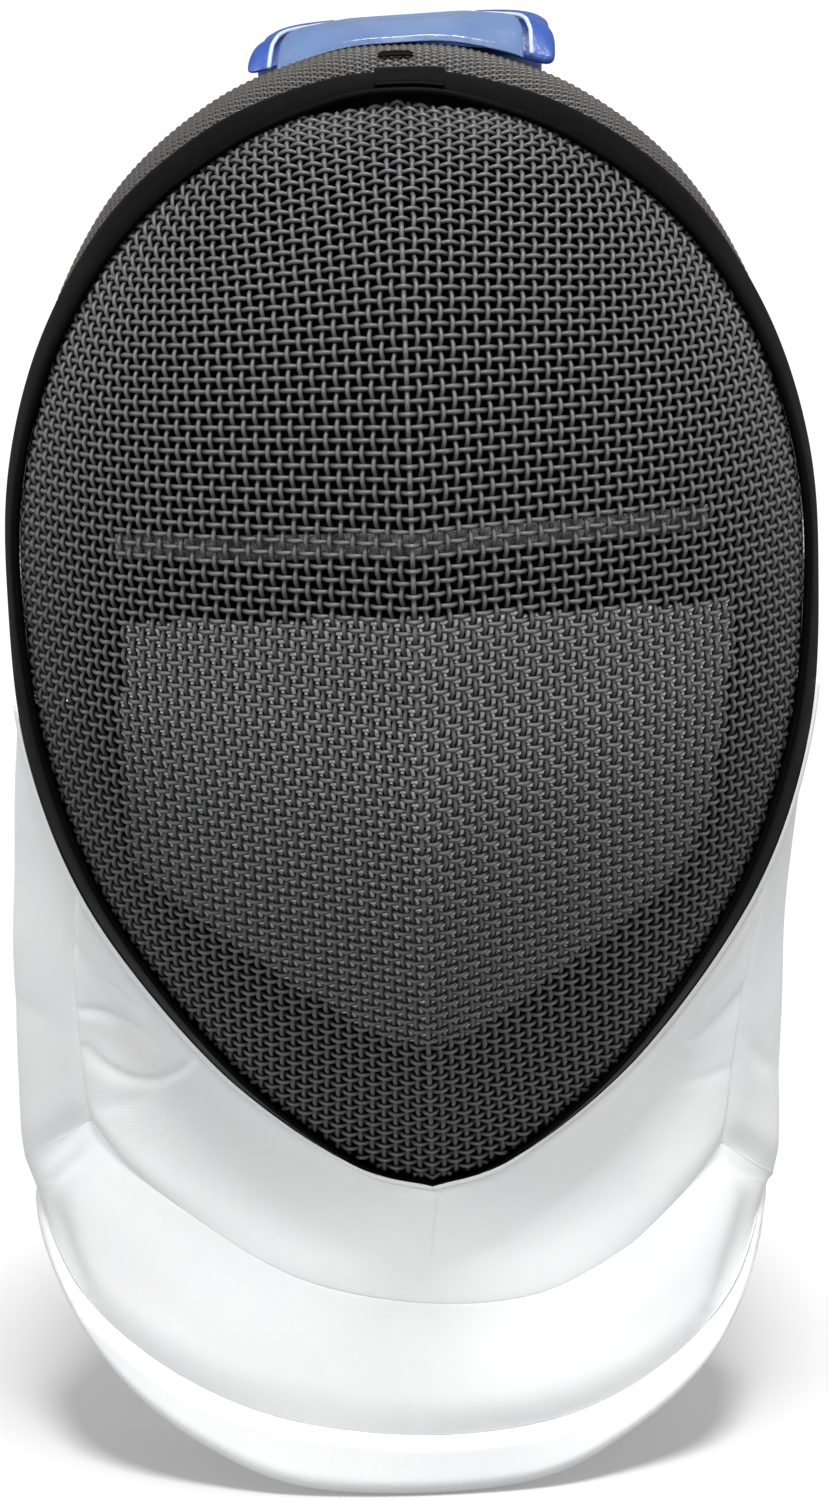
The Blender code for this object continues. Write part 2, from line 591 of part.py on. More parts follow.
def build_chin_lining(material):
    """The pad inside the lower rim, wide under the chin and narrow beside the cheeks."""
    stations = np.linspace(CHIN_PAD_START, LAST_STATION, 11)
    half = trim_outline(stations)
    rim_x = (half["x"] - half["out_x"] * (half["step"] + CHIN_PAD_AIR))[:-1]
    rim_z = (half["z"] - half["out_z"] * (half["step"] + CHIN_PAD_AIR))[:-1]
    share = ((stations - stations[0]) / (LAST_STATION - stations[0]))[:-1]
    scale = CHIN_PAD_SCALE[0] + (CHIN_PAD_SCALE[1] - CHIN_PAD_SCALE[0]) * share ** 2
    x = np.concatenate([-rim_x, rim_x[::-1]])
    z = np.concatenate([rim_z, rim_z[::-1]])
    scale = np.concatenate([scale, scale[::-1]])
    inwards = 1 + (scale - 1)[:, None] * np.linspace(0, 1, 5)[None, :]
    grid_x = x[:, None] * inwards
    grid_z = CHIN_PAD_CENTRE + (z - CHIN_PAD_CENTRE)[:, None] * inwards
    add_layer("chin_lining", grid_x, grid_z, CHIN_PAD_OFFSET, CHIN_PAD_THICKNESS, material)


# ---------------------------------------------------------------- the bib

BIB_VALUES = {name: column(BIB_ROWS, BIB_COLUMNS, name) for name in BIB_COLUMNS}
LAST_BIB_STATION = len(BIB_ROWS) - 1


def bib_line(line, stations):
    """One sewn line of the bib at stations from -6 (right back edge) to 6 (left back edge)."""
    at = np.abs(stations)
    x = smooth_half(BIB_VALUES[line + "_x"], at, -1, BIB_CORNERS.get(line)) * np.sign(stations)
    y = smooth_half(BIB_VALUES[line + "_y"], at, 1, BIB_CORNERS.get(line))
    z = smooth_half(BIB_VALUES[line + "_z"], at, 1, BIB_CORNERS.get(line))
    return np.stack([x, y, z], axis=-1)


def smooth_half(values, at, mirror, corner=None):
    """Catmull-Rom through values, mirrored at the first one and running on straight past the last. At
    a corner the curve ends and another one starts."""
    values = np.concatenate(([mirror * values[1]], values))
    if corner is None:
        return smooth(values, at + 1.0)
    before = smooth(values[:corner + 2], np.minimum(at, corner) + 1.0)
    after = smooth(values[corner + 1:], np.maximum(at - corner, 0.0))
    return np.where(at <= corner, before, after)


def bib_swing(stations, fall):
    """How far the bib hangs to one side: from nothing at the trim to the swing of its middle line as
    1 - (1 - fall)^4, and from there on straight from line to line."""
    mid, seam, hem = (smooth(column(BIB_SWING_ROWS, BIB_SWING_COLUMNS, name),
                             stations + LAST_BIB_STATION)[None, :] for name in BIB_SWING_COLUMNS)
    first, second, third = BIB_FALLS
    begun = np.minimum((1 - (1 - fall) ** 4) / (1 - (1 - first) ** 4), 1.0)
    lower = np.clip((fall - first) / (second - first), 0, 1)
    last = np.clip((fall - second) / (third - second), 0, 1)
    return mid * begun + (seam - mid) * lower + (hem - seam) * last


def bib_panel(upper, lower, upper_share, lower_share, stations, rows, puff):
    """A padded panel between two sewn lines. It swells outwards by puff between its edges, and it hangs
    to one side and is skewed in height."""
    share = np.linspace(0, 1, rows)[:, None]
    start = bib_line(upper, stations)[None]
    end = bib_line(lower, stations)[None]
    points = start + (end - start) * share[..., None]
    normal = outward_from_neck(points)
    sewn = np.linspace(0, 1, len(stations))[None, :]
    swell = puff * np.sin(np.pi * share) ** 0.7 * np.sin(np.pi * np.clip(sewn, 0, 1)) ** 0.25
    points = points + normal * swell[..., None]
    fall = upper_share + (lower_share - upper_share) * share
    skew = BIB_SKEW * np.interp(fall, *zip(*BIB_SKEW_ROWS))
    points[..., 2] -= skew * np.clip(points[..., 0] / BIB_SKEW_REACH, -1, 1)
    points[..., 0] += bib_swing(stations, fall)
    return points


def outward_from_neck(points):
    """Level directions away from the middle of the neck."""
    return unit((points - np.array([0.0, NECK_CENTRE_Y, 0.0])) * np.array([NECK_FLATNESS, 1.0, 0.0]))


def add_bib_panel(name, surface, thickness, material):
    """A bib panel: every point's inner partner lies level with it, towards the neck."""
    return add_shell(name, surface, surface - outward_from_neck(surface) * thickness, material)


def between(first, last, count):
    """Stations of one panel, pulled in a little at both ends so that it clears its neighbours."""
    return np.linspace(first + BIB_END_GAP, last - BIB_END_GAP, count)


def build_bib(material):
    front = between(-SIDE_STATION, SIDE_STATION, 25)
    whole = between(-LAST_BIB_STATION, LAST_BIB_STATION, 37)
    left = between(SIDE_STATION, LAST_BIB_STATION, 7)
    upper = bib_panel("top", "mid", 0.0, 0.5, front, 7, BIB_UPPER_PUFF)
    side_left = bib_panel("top", "mid", 0.0, 0.5, left, 9, BIB_SIDE_PUFF)
    side_right = bib_panel("top", "mid", 0.0, 0.5, -left[::-1], 9, BIB_SIDE_PUFF)
    lower = bib_panel("mid", "seam", 0.5, 0.9, whole, 6, BIB_LOWER_PUFF)
    hem = bib_panel("seam", "hem", 0.9, 1.0, whole, 3, BIB_HEM_PUFF)
    add_bib_panel("bib_upper", trimmed(upper), BIB_THICKNESS, material)
    add_bib_panel("bib_side_left", trimmed(side_left), BIB_THICKNESS, material)
    add_bib_panel("bib_side_right", trimmed(side_right), BIB_THICKNESS, material)
    add_bib_panel("bib_lower", trimmed(lower), BIB_THICKNESS, material)
    add_bib_panel("bib_hem", trimmed(hem), BIB_HEM_THICKNESS, material)


def trimmed(points):
    """Pulls the first and last row of a grid in a little, so that panels meet with a gap."""
    points = points.copy()
    for edge, inside in ((0, 1), (-1, -2)):
        points[edge] += unit(points[inside] - points[edge]) * BIB_SEAM_GAP
    return points


# ---------------------------------------------------------------- the tongue

def tongue_path(count):
    """Middle of the tongue's padding in the middle plane, its thickness and its share of length."""
    arc = np.radians(TONGUE_ARC)
    y = np.concatenate([column(TONGUE_FRONT_ROWS, TONGUE_FRONT_COLUMNS, "depth"),
                        TONGUE_CENTRE_Y + TONGUE_RADIUS * np.sin(arc)])
    z = np.concatenate([column(TONGUE_FRONT_ROWS, TONGUE_FRONT_COLUMNS, "height"),
                        TONGUE_CENTRE_Z + TONGUE_RADIUS * np.cos(arc)])
    thick = np.concatenate([column(TONGUE_FRONT_ROWS, TONGUE_FRONT_COLUMNS, "thickness"),
                            np.full(len(arc), TONGUE_THICKNESS)])
    fine = np.linspace(0, len(y) - 1, 241)
    y, z, thick = (smooth(values, fine) for values in (y, z, thick))
    length = np.concatenate(([0.0], np.cumsum(np.hypot(np.diff(y), np.diff(z)))))
    share = np.linspace(0, 1, count)
    at = share * length[-1]
    points = np.stack([np.zeros(count), np.interp(at, length, y), np.interp(at, length, z)], axis=-1)
    end = np.clip((1 - share) * length[-1] / 7.0, 0.0, 1.0)
    thickness = np.interp(at, length, thick) * (0.35 + 0.65 * np.sqrt(1 - (1 - end) ** 2))
    return points, thickness, share, length[-1]


def tongue_half_width(share, length):
    """Widest at the front, then nearly straight sides and a round free end."""
    from_end = np.clip((1 - share) * length / 24.0, 0.0, 1.0)
    from_start = np.clip(share * length / 10.0, 0.0, 1.0)
    narrow = 1 - TONGUE_NARROWING * np.clip(share * length / TONGUE_NARROWED, 0, 1)
    return TONGUE_HALF_WIDTH * narrow * (0.45 + 0.55 * np.sqrt(1 - (1 - from_end) ** 2)) * (
        0.88 + 0.12 * np.sqrt(1 - (1 - from_start) ** 2))


def build_tongue(material):
    path, thickness, share, length = tongue_path(23)
    turn = np.linspace(0, 2 * np.pi, 16, endpoint=False)
    half = tongue_half_width(share, length)[:, None]
    x = half * np.sign(np.cos(turn)) * np.abs(np.cos(turn)) ** TONGUE_SIDE_ROUNDING
    n = 0.5 * thickness[:, None] * np.sign(np.sin(turn)) * np.abs(np.sin(turn)) ** TONGUE_TOP_ROUNDING
    side = np.tile([1.0, 0.0, 0.0], (len(path), 1))
    return add_tube("tongue", frame_rings(path, x, n, side), material, sharp_angle=60.0)


def tongue_top(x, share_wanted, lift):
    """Points on the tongue's upper side, lifted off it; x and share_wanted are grids."""
    path, thickness, share, length = tongue_path(241)
    along = unit(np.gradient(path, axis=0))
    up = np.stack([np.zeros(len(path)), -along[:, 2], along[:, 1]], axis=-1)
    half = tongue_half_width(share, length)
    edge = np.clip(np.abs(x) / np.interp(share_wanted, share, half), 0, 1)
    rise = 0.5 * np.interp(share_wanted, share, thickness)
    rise = rise * (1 - edge ** (2 / TONGUE_SIDE_ROUNDING)) ** (TONGUE_TOP_ROUNDING / 2) + lift
    middle = np.stack([np.interp(share_wanted, share, path[:, k]) for k in range(3)], axis=-1)
    lift_dir = np.stack([np.interp(share_wanted, share, up[:, k]) for k in range(3)], axis=-1)
    points = middle + lift_dir * rise[..., None]
    points[..., 0] += x
    return points


def build_tongue_panel(material):
    share = np.linspace(*PANEL_REACH, 9)[:, None] + np.zeros((1, 9))
    x = PANEL_HALF_WIDTH * panel_width(share) * np.linspace(-1, 1, 9)[None, :]
    outer = tongue_top(x, share, GAP + PANEL_THICKNESS)
    return add_wall("tongue_panel", outer, PANEL_THICKNESS, material, ABOVE)


def panel_width(share):
    """The panel's share of its full width: round corners at its far end."""
    from_end = np.clip((PANEL_REACH[1] - share) / PANEL_CORNER, 0.0, 1.0)
    return 0.72 + 0.28 * np.sqrt(1 - (1 - from_end) ** 2)


def build_tongue_piping(material):
    """A cord sewn round the sides and the far end of the panel."""
    share = np.linspace(PANEL_REACH[0], PANEL_REACH[1], 13)
    x = (PANEL_HALF_WIDTH + PIPING_OFFSET) * panel_width(share)
    end_share = PANEL_REACH[1] + 0.008
    across = np.linspace(x[-1], -x[-1], 9)[1:-1]
    all_x = np.concatenate([x, across, -x[::-1]])
    all_share = np.concatenate([share + 0.004, np.full(len(across), end_share), share[::-1] + 0.004])
    path = tongue_top(all_x, all_share, GAP + PIPING_RADIUS + 0.4)
    side = tongue_top(all_x, all_share, 10.0) - path
    return round_tube("tongue_piping", path, side, PIPING_RADIUS, 6, material)


# ---------------------------------------------------------------- assembly

def build():
    clear_scene()
    black_wire = make_material("black_wire", (0.115, 0.115, 0.12), 0.5, 0.4)
    steel_wire = make_material("steel_wire", (0.30, 0.30, 0.31), 0.42, 0.8)
    black_trim = make_material("black_trim", (0.006, 0.006, 0.008), 0.45)
    black_lining = make_material("black_lining", (0.004, 0.004, 0.005), 0.95)
    grey_tape = make_material("grey_tape", (0.22, 0.22, 0.22), 0.85)
    white_cloth = make_material("white_cloth", (0.86, 0.86, 0.86), 0.9)
    blue_cover = make_material("blue_cover", (0.09, 0.19, 0.56), 0.35)
    blue_panel = make_material("blue_panel", (0.28, 0.42, 0.72), 0.2)
    white_piping = make_material("white_piping", (0.75, 0.8, 0.9), 0.4)

    build_front_mesh(black_wire)
    build_double_mesh(steel_wire)
    build_trim(black_trim)
    build_trim_joint(black_trim)
    build_crown_mesh(steel_wire)
    build_crown_binding(black_trim)
    build_crown_clip(black_trim)
    build_crown_lining(black_lining)
    build_brow_band(grey_tape)
    build_neck_flap("neck_flap_left", 1, black_lining)
    build_neck_flap("neck_flap_right", -1, black_lining)
    build_chin_lining(black_lining)
    build_bib(white_cloth)
    build_tongue(blue_cover)
    build_tongue_panel(blue_panel)
    build_tongue_piping(white_piping)


build()
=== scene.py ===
# %% [markdown]
# # A fencing mask
# A fencing mask is a bowl of woven steel wire, folded to a crease down the middle of the face. A black
# rim band joins it to a wire crown over the head. A quilted white bib hangs below it over the throat,
# and a padded spring tongue at the back keeps it on. This lesson dresses the plain solids of the mask:
# it weaves the wires one by one, swells the padding, and mixes a finish for each material.

# %% Load the frame
import bpy
import numpy as np
from mathutils import Matrix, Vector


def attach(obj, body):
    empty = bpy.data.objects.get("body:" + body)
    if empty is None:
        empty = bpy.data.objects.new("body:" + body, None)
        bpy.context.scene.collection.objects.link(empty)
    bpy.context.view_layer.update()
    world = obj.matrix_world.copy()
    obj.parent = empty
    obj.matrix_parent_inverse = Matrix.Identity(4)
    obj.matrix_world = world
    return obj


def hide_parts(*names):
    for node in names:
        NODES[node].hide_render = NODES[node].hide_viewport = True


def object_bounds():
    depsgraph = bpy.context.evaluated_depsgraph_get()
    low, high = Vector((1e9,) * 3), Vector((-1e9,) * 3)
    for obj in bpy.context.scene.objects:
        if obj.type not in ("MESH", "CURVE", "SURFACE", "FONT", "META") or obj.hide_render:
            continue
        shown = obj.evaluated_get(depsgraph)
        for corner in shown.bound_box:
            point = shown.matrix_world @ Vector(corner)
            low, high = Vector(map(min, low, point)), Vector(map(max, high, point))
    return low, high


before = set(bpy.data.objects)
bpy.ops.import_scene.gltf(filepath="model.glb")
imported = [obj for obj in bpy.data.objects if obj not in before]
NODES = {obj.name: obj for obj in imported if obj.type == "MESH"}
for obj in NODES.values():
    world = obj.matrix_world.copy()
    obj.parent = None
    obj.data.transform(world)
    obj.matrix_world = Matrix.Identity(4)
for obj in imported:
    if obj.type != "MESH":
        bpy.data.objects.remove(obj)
CAD_BOX = [[float(c) for c in corner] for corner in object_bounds()]
print("solids:", len(NODES), "box:", np.round(np.array(CAD_BOX) * 1000, 1).tolist(), "mm")

# %% [markdown]
# ## Two frames
# Every size of the real mask was taken from its face, so the numbers below are millimetres from the
# foremost point of the crease: x to the wearer's left, y back, z up. The part itself has its origin at
# the seat on top of the head. One small function carries finished points from the one to the other,
# which is safer than moving objects, because each object then stays at the origin.

# %% From the face frame to the part's frame
SEAT = np.array([0.0, 119.0, 111.6])


def place(points):
    """Face frame in millimetres to the part's frame in metres: (point - seat) / 1000."""
    return (np.asarray(points, dtype=float) - SEAT) * 0.001


print("the seat is", SEAT.tolist(), "mm from the foremost point")


# %% [markdown]
# ## The camera
# The photograph looks down on the mask by 14 degrees from 1.3 m away, and the mask leans 1.9 degrees
# to one side in it. Here the camera is rolled and the mask stays upright, because the part should be
# straight in any scene that it is used in.

# %% Camera
PHOTO_WIDTH, PHOTO_HEIGHT = 828.0, 1500.0
FOCAL_PIXELS = 5240.0
TILT = np.radians(14.0)
ROLL = np.radians(1.9)
EYE_BACK, EYE_DOWN, EYE_LEFT = 1300.0, 40.0, 1.2
forward = np.array([0.0, np.cos(TILT), -np.sin(TILT)])
upward = np.array([0.0, np.sin(TILT), np.cos(TILT)])
rightward = np.array([1.0, 0.0, 0.0])
eye = place(-EYE_BACK * forward - EYE_DOWN * upward - EYE_LEFT * rightward)
axes = np.stack([rightward * np.cos(ROLL) - upward * np.sin(ROLL),
                 rightward * np.sin(ROLL) + upward * np.cos(ROLL), -forward], axis=1)
matrix = np.eye(4)
matrix[:3, :3] = axes
matrix[:3, 3] = eye

camera = bpy.data.objects.new("camera", bpy.data.cameras.new("camera"))
bpy.context.scene.collection.objects.link(camera)
camera.data.sensor_fit = "VERTICAL"
camera.data.sensor_height = 36.0
camera.data.lens = FOCAL_PIXELS / PHOTO_HEIGHT * camera.data.sensor_height
camera.data.clip_end = 100.0
camera.matrix_world = Matrix(matrix.tolist())
bpy.context.scene.camera = camera
print("lens", round(camera.data.lens, 1), "mm, camera at", np.round(eye, 3).tolist())

# %% [markdown]
# ## Light
# A white bib on a pale ground needs soft light with a clear direction, or it loses its folds. Two wide
# suns do that: one high up, whose shade under the face shows how far the bowl stands out, and a low
# one from the front. Two weak ones light the sides of the bib. A sun lights the floor evenly however
# far it runs, where a lamp close by would leave a bright spot. The Standard view keeps white white,
# which the default view would grey.

# %% Suns and world
# Each sun's name, its strength, the width of its disc in degrees, its angle above the horizon, and its
# bearing: 0 from the camera's side and positive towards the right of the picture.
SUNS = (
    ("high_sun", 3.65, 16.0, 68.0, 8.0),
    ("front_sun", 0.84, 14.0, 16.0, -6.0),
    ("left_fill", 0.9, 40.0, 14.0, -72.0),
    ("right_fill", 1.05, 40.0, 14.0, 72.0),
)
for name, strength, softness, height, bearing in SUNS:
    light = bpy.data.lights.new(name, "SUN")
    light.energy = strength
    light.angle = np.radians(softness)
    lamp = bpy.data.objects.new(name, light)
    lamp.rotation_euler = (np.radians(90.0 - height), 0.0, np.radians(bearing))
    bpy.context.scene.collection.objects.link(lamp)

world = bpy.data.worlds.new("world")
world.use_nodes = True
world.node_tree.nodes["Background"].inputs["Color"].default_value = (1.0, 1.0, 1.0, 1.0)
world.node_tree.nodes["Background"].inputs["Strength"].default_value = 0.35
bpy.context.scene.world = world
bpy.context.scene.view_settings.view_transform = "Standard"
print("suns:", [name for name, *_ in SUNS])

# %% [markdown]
# ## Floor
# The floor of a product picture fades into white. A white floor would also throw light up under the
# chin, which is dark in the photograph. So the floor is pale and glows a little where the camera sees
# it, and is darker for the light that it throws back. Materials are built in code here, so three small
# helpers come first: one adds a node, one sets or links its inputs, and one does sums.

# %% Node helpers and the floor
def connect(node, inputs):
    """Sets inputs of a node, given by name or number; a value that is a socket is linked to it."""
    for label, value in inputs.items():
        if isinstance(value, bpy.types.NodeSocket):
            node.id_data.links.new(value, node.inputs[label])
        else:
            node.inputs[label].default_value = value


def add(tree, kind, inputs=(), **settings):
    """A new node with some of its settings and inputs."""
    node = tree.nodes.new(kind)
    for key, value in settings.items():
        setattr(node, key, value)
    connect(node, dict(inputs))
    return node


def math(tree, operation, a, b=0.0):
    """A sum of two sockets or numbers, such as a + b or a * b, given back as a socket."""
    return add(tree, "ShaderNodeMath", {0: a, 1: b}, operation=operation).outputs[0]


floor_z = CAD_BOX[0][2] - 0.001
floor_mesh = bpy.data.meshes.new("floor")
floor_mesh.from_pydata([(x, y, floor_z) for x, y in ((-9, -9), (9, -9), (9, 40), (-9, 40))], [],
                       [(0, 1, 2, 3)])
floor = bpy.data.objects.new("floor", floor_mesh)
bpy.context.scene.collection.objects.link(floor)
floor_paint = bpy.data.materials.new("floor_paint")
floor_paint.use_nodes = True
tree = floor_paint.node_tree
to_camera = add(tree, "ShaderNodeLightPath").outputs["Is Camera Ray"]
tone = add(tree, "ShaderNodeMix", {"Factor": to_camera, "A": (0.17, 0.17, 0.17, 1.0),
                                   "B": (0.55, 0.55, 0.55, 1.0)}, data_type="RGBA")
connect(tree.nodes["Principled BSDF"], {
    "Base Color": tone.outputs["Result"], "Roughness": 0.9, "Specular IOR Level": 0.1,
    "Emission Color": (1.0, 1.0, 1.0, 1.0),
    "Emission Strength": math(tree, "MULTIPLY", to_camera, 0.2)})
floor_mesh.materials.append(floor_paint)
print("floor at", round(floor_z, 4), "m")

# %% [markdown]
# ## From points to a mesh
# Nearly every piece of the mask is a surface over a grid: rows one way, columns the other. Blender
# could loft or extrude such shapes by hand, but a grid of points worked out at once in numpy keeps the
# edges of neighbours on the same lines. One helper hands points and faces to Blender as whole arrays,
# which is far quicker than a loop, and turns the faces outwards if they came out the wrong way round.

# %% Mesh helpers
def volume_of(mesh):
    """Signed volume: the sum over triangles of a . (b x c) / 6, positive where faces point outwards."""
    mesh.calc_loop_triangles()
    corners = np.empty(len(mesh.loop_triangles) * 3, dtype=np.int32)
    mesh.loop_triangles.foreach_get("vertices", corners)
    points = np.empty(len(mesh.vertices) * 3)
    mesh.vertices.foreach_get("co", points)
    a, b, c = points.reshape(-1, 3)[corners.reshape(-1, 3)].transpose(1, 0, 2)
    return float(np.sum(a * np.cross(b, c)) / 6.0)


def new_piece(name, points, faces, uv=None):
    """A mesh object from points in the face frame; it rides on the mask's one body. faces is an array
    of quads, or a list of such arrays whose faces have different numbers of corners."""
    groups = [np.asarray(g, dtype=np.int32) for g in (faces if isinstance(faces, list) else [faces])]
    corners = np.concatenate([g.ravel() for g in groups])
    sizes = np.concatenate([np.full(len(g), g.shape[1], dtype=np.int32) for g in groups])
    mesh = bpy.data.meshes.new(name)
    mesh.vertices.add(len(points))
    mesh.vertices.foreach_set("co", place(points).astype(np.float32).ravel())
    mesh.loops.add(len(corners))
    mesh.loops.foreach_set("vertex_index", corners)
    mesh.polygons.add(len(sizes))
    mesh.polygons.foreach_set("loop_start", np.cumsum(sizes) - sizes)
    mesh.polygons.foreach_set("use_smooth", np.full(len(sizes), True))
    mesh.update(calc_edges=True)
    if uv is not None:
        layer = mesh.uv_layers.new(name="UVMap")
        layer.data.foreach_set("uv", np.asarray(uv, dtype=np.float32)[corners].ravel())
    if volume_of(mesh) < 0:
        mesh.flip_normals()
    piece = bpy.data.objects.new(name, mesh)
    bpy.context.scene.collection.objects.link(piece)
    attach(piece, "root")
    return piece


print("mesh helpers:", volume_of.__name__, new_piece.__name__)

# %% [markdown]
# ## Walls
# Cloth, bands and padding are walls: two grids a little apart, closed by a strip round their edge. The
# Solidify modifier makes such a wall from one grid, but here the inner side often has a shape of its
# own, so both sides are given.

# %% Grids and walls
def grid_quads(rows, columns, wrap_rows=False, wrap_columns=False):
    """Quads of a grid numbered row by row; wrapping joins the last row or column to the first."""
    i = np.arange(rows if wrap_rows else rows - 1)[:, None]
    j = np.arange(columns if wrap_columns else columns - 1)[None, :]
    after_i = (i + 1) % rows
    after_j = (j + 1) % columns
    quads = np.stack([i * columns + j, i * columns + after_j,
                      after_i * columns + after_j, after_i * columns + j], axis=-1)
    return quads.reshape(-1, 4)


def lengths_along(grid, axis):
    """Distance walked along one direction of a grid, in millimetres, starting at zero."""
    steps = np.linalg.norm(np.diff(grid, axis=axis), axis=-1)
    start = np.zeros_like(np.take(steps, [0], axis=axis))
    return np.concatenate([start, np.cumsum(steps, axis=axis)], axis=axis)


def wall(name, outer, inner):
    """A closed wall: the outer grid, the inner grid turned over, and a strip round their edge.

    Its UV map is the distance along the grid's two directions in millimetres.
    """
    rows, columns = outer.shape[:2]
    count = rows * columns
    front = grid_quads(rows, columns)
    order = np.arange(count).reshape(rows, columns)
    ring = np.concatenate([order[0, :-1], order[:-1, -1], order[-1, :0:-1], order[:0:-1, 0]])
    after = np.roll(ring, -1)
    strip = np.stack([after, ring, ring + count, after + count], axis=-1)
    faces = np.concatenate([front, front[:, ::-1] + count, strip])
    uv = np.stack([lengths_along(outer, 1), lengths_along(outer, 0)], axis=-1).reshape(-1, 2)
    points = np.concatenate([outer.reshape(-1, 3), inner.reshape(-1, 3)])
    return new_piece(name, points, faces, uv=np.concatenate([uv, uv]))


def unit(vectors):
    """Each vector divided by its own length."""
    return vectors / np.maximum(np.linalg.norm(vectors, axis=-1, keepdims=True), 1e-9)


def normals_of(grid):
    """Unit normals: the cross product of the grid's two directions."""
    return unit(np.cross(np.gradient(grid, axis=1), np.gradient(grid, axis=0)))


print("a grid of 3 by 4 points has", len(grid_quads(3, 4)), "quads")

# %% [markdown]
# ## Tubes
# Wires, cords and the trim are tubes: a cross-section carried along a path. A curve object with a bevel
# would do for round ones. Rings of points also do for the trim and the tongue, whose section is not
# round, and let a tube change on its way.

# %% Rings and tubes
def rings_along(path, side, radius, sides):
    """Rings of a round cord: path + radius * (cos(t) * side + sin(t) * up), t going once round."""
    along = unit(np.gradient(path, axis=0))
    side = unit(side - along * np.sum(side * along, axis=-1, keepdims=True))
    up = np.cross(along, side)
    turn = np.linspace(0, 2 * np.pi, sides, endpoint=False)[None, :, None]
    radius = np.broadcast_to(radius, (len(path),))[:, None, None]
    return path[:, None] + radius * (np.cos(turn) * side[:, None] + np.sin(turn) * up[:, None])


def tube(name, rings, wrap=False):
    """A closed body from rings of points: quads between the rings, and one flat face at each end."""
    count, sides = rings.shape[:2]
    faces = [grid_quads(count, sides, wrap_rows=wrap, wrap_columns=True)]
    if not wrap:
        faces.append(np.stack([np.arange(sides)[::-1], np.arange(sides) + (count - 1) * sides]))
    around = np.linspace(0, 1, sides)[None, :] + np.zeros((count, 1))
    uv = np.stack([around, lengths_along(rings, 0)], axis=-1).reshape(-1, 2)
    return new_piece(name, rings.reshape(-1, 3), faces, uv=uv)


print("a round cord of 12 sides has", len(grid_quads(2, 12, wrap_columns=True)), "quads for each step")

# %% [markdown]
# ## The rim line
# The real mask is built round its rim: the bowl, the crown and the bib all end on it. So the rim comes
# first, as a short table read from the photograph, half its width at each height. A Catmull-Rom curve
# passes through every row of the table, so one row can be changed without bending the rest.

# %% Curves through tables
def catmull_rom(padded, at):
    """The Catmull-Rom curve through a table, at numbers that count its rows from 0. padded is the
    table with one more value before its first and after its last, which set how the ends run."""
    left = np.clip(np.floor(at).astype(int), 0, len(padded) - 4)
    t = at - left
    p0, p1, p2, p3 = (padded[left + k] for k in range(4))
    return 0.5 * (2 * p1 + (p2 - p0) * t + (2 * p0 - 5 * p1 + 4 * p2 - p3) * t ** 2
                  + (3 * p1 - p0 - 3 * p2 + p3) * t ** 3)


def smooth(values, at, mirror, corner=False):
    """A curve that goes on past both ends as its own reflection (mirror = 1) or its negated reflection
    (mirror = -1). With corner its last end runs on straight, which makes the chin a point."""
    last = 2 * values[-1] - values[-2] if corner else mirror * values[-2]
    return catmull_rom(np.array([mirror * values[1], *values, last], dtype=float), at)


def straight_ends(values, at):
    """A curve whose two ends run on straight."""
    first, last = 2 * values[0] - values[1], 2 * values[-1] - values[-2]
    return catmull_rom(np.array([first, *values, last], dtype=float), at)


print("between rows of 0, 1, 4 and 9:", straight_ends((0, 1, 4, 9), np.array([0.5, 1.5, 2.5])))

# %% [markdown]
# ## The rim's table
# Three more rows of numbers say how the band lies along the rim: the depth of its front edge, how far
# that edge steps inwards, and how thick the band is. The direction out of the outline is measured on
# the curve itself, between two points close together.

# %% The rim table
RIM = {
    "half_width": (0, 20, 48, 74.9, 94.5, 105.2, 107.8, 105, 89.9, 57.8, 23.4, 0),
    "height": (118.5, 116.7, 106.2, 85, 54, 20, -15, -62, -107, -152, -179.3, -186.8),
    "front": (71.5, 71.6, 71.9, 72.3, 73, 73.7, 74.1, 75.2, 76.1, 77.3, 77.9, 78),
    "step": (5.1, 6.2, 7.3, 7.2, 5.9, 5.3, 5.3, 7.8, 8.6, 7.3, 5.4, 4.8),
    "thickness": (2.4, 2.4, 2.4, 2.4, 2.4, 2.4, 2.4, 2.3, 2.1, 1.8, 1.5, 1.4),
}
RIM_WIDTH = 15.0
LAST = len(RIM["height"]) - 1


def rim_outline(station):
    """The left half of the rim's outer edge, x and z, at stations 0 (top) to 11 (chin)."""
    return smooth(RIM["half_width"], station, -1), smooth(RIM["height"], station, 1, True)


def rim_at(station):
    """The rim at stations: its outer edge x and z, the depth of its front edge, how far that edge
    steps inwards, and the direction straight out of the outline."""
    station = np.asarray(station, dtype=float)
    x, z = rim_outline(station)
    x = np.maximum(x, 0.0)
    dx, dz = np.subtract(rim_outline(np.clip(station + 0.01, 0, LAST)),
                         rim_outline(np.clip(station - 0.01, 0, LAST)))
    size = np.hypot(dx, dz)
    out_x = np.where(np.abs(x) < 0.5, 0.0, -dz / size)
    out_z = np.where(np.abs(x) < 0.5, np.sign(z), dx / size)
    return x, z, smooth(RIM["front"], station, 1), smooth(RIM["step"], station, 1), out_x, out_z


def thickness_at(station):
    """The trim's thickness; it is thinner under the chin."""
    return smooth(RIM["thickness"], station, 1)


fine_x, fine_z, fine_front, fine_step, fine_out_x, fine_out_z = rim_at(np.linspace(0, LAST, 441))
fine_thickness = thickness_at(np.linspace(0, LAST, 441))
print("rim", round(2 * fine_x.max()), "mm wide and", round(fine_z[0] - fine_z[-1]), "mm tall")

# %% [markdown]
# ## The bowl
# The bowl is made from one sheet of woven wire, pressed over a form. Each level section leaves the
# crease nearly straight and turns back sharply at the rim. A sculpted mesh could be fitted to it, but a
# formula in s, the share of the way from crease to rim, gives a smooth skin to lay wires on.

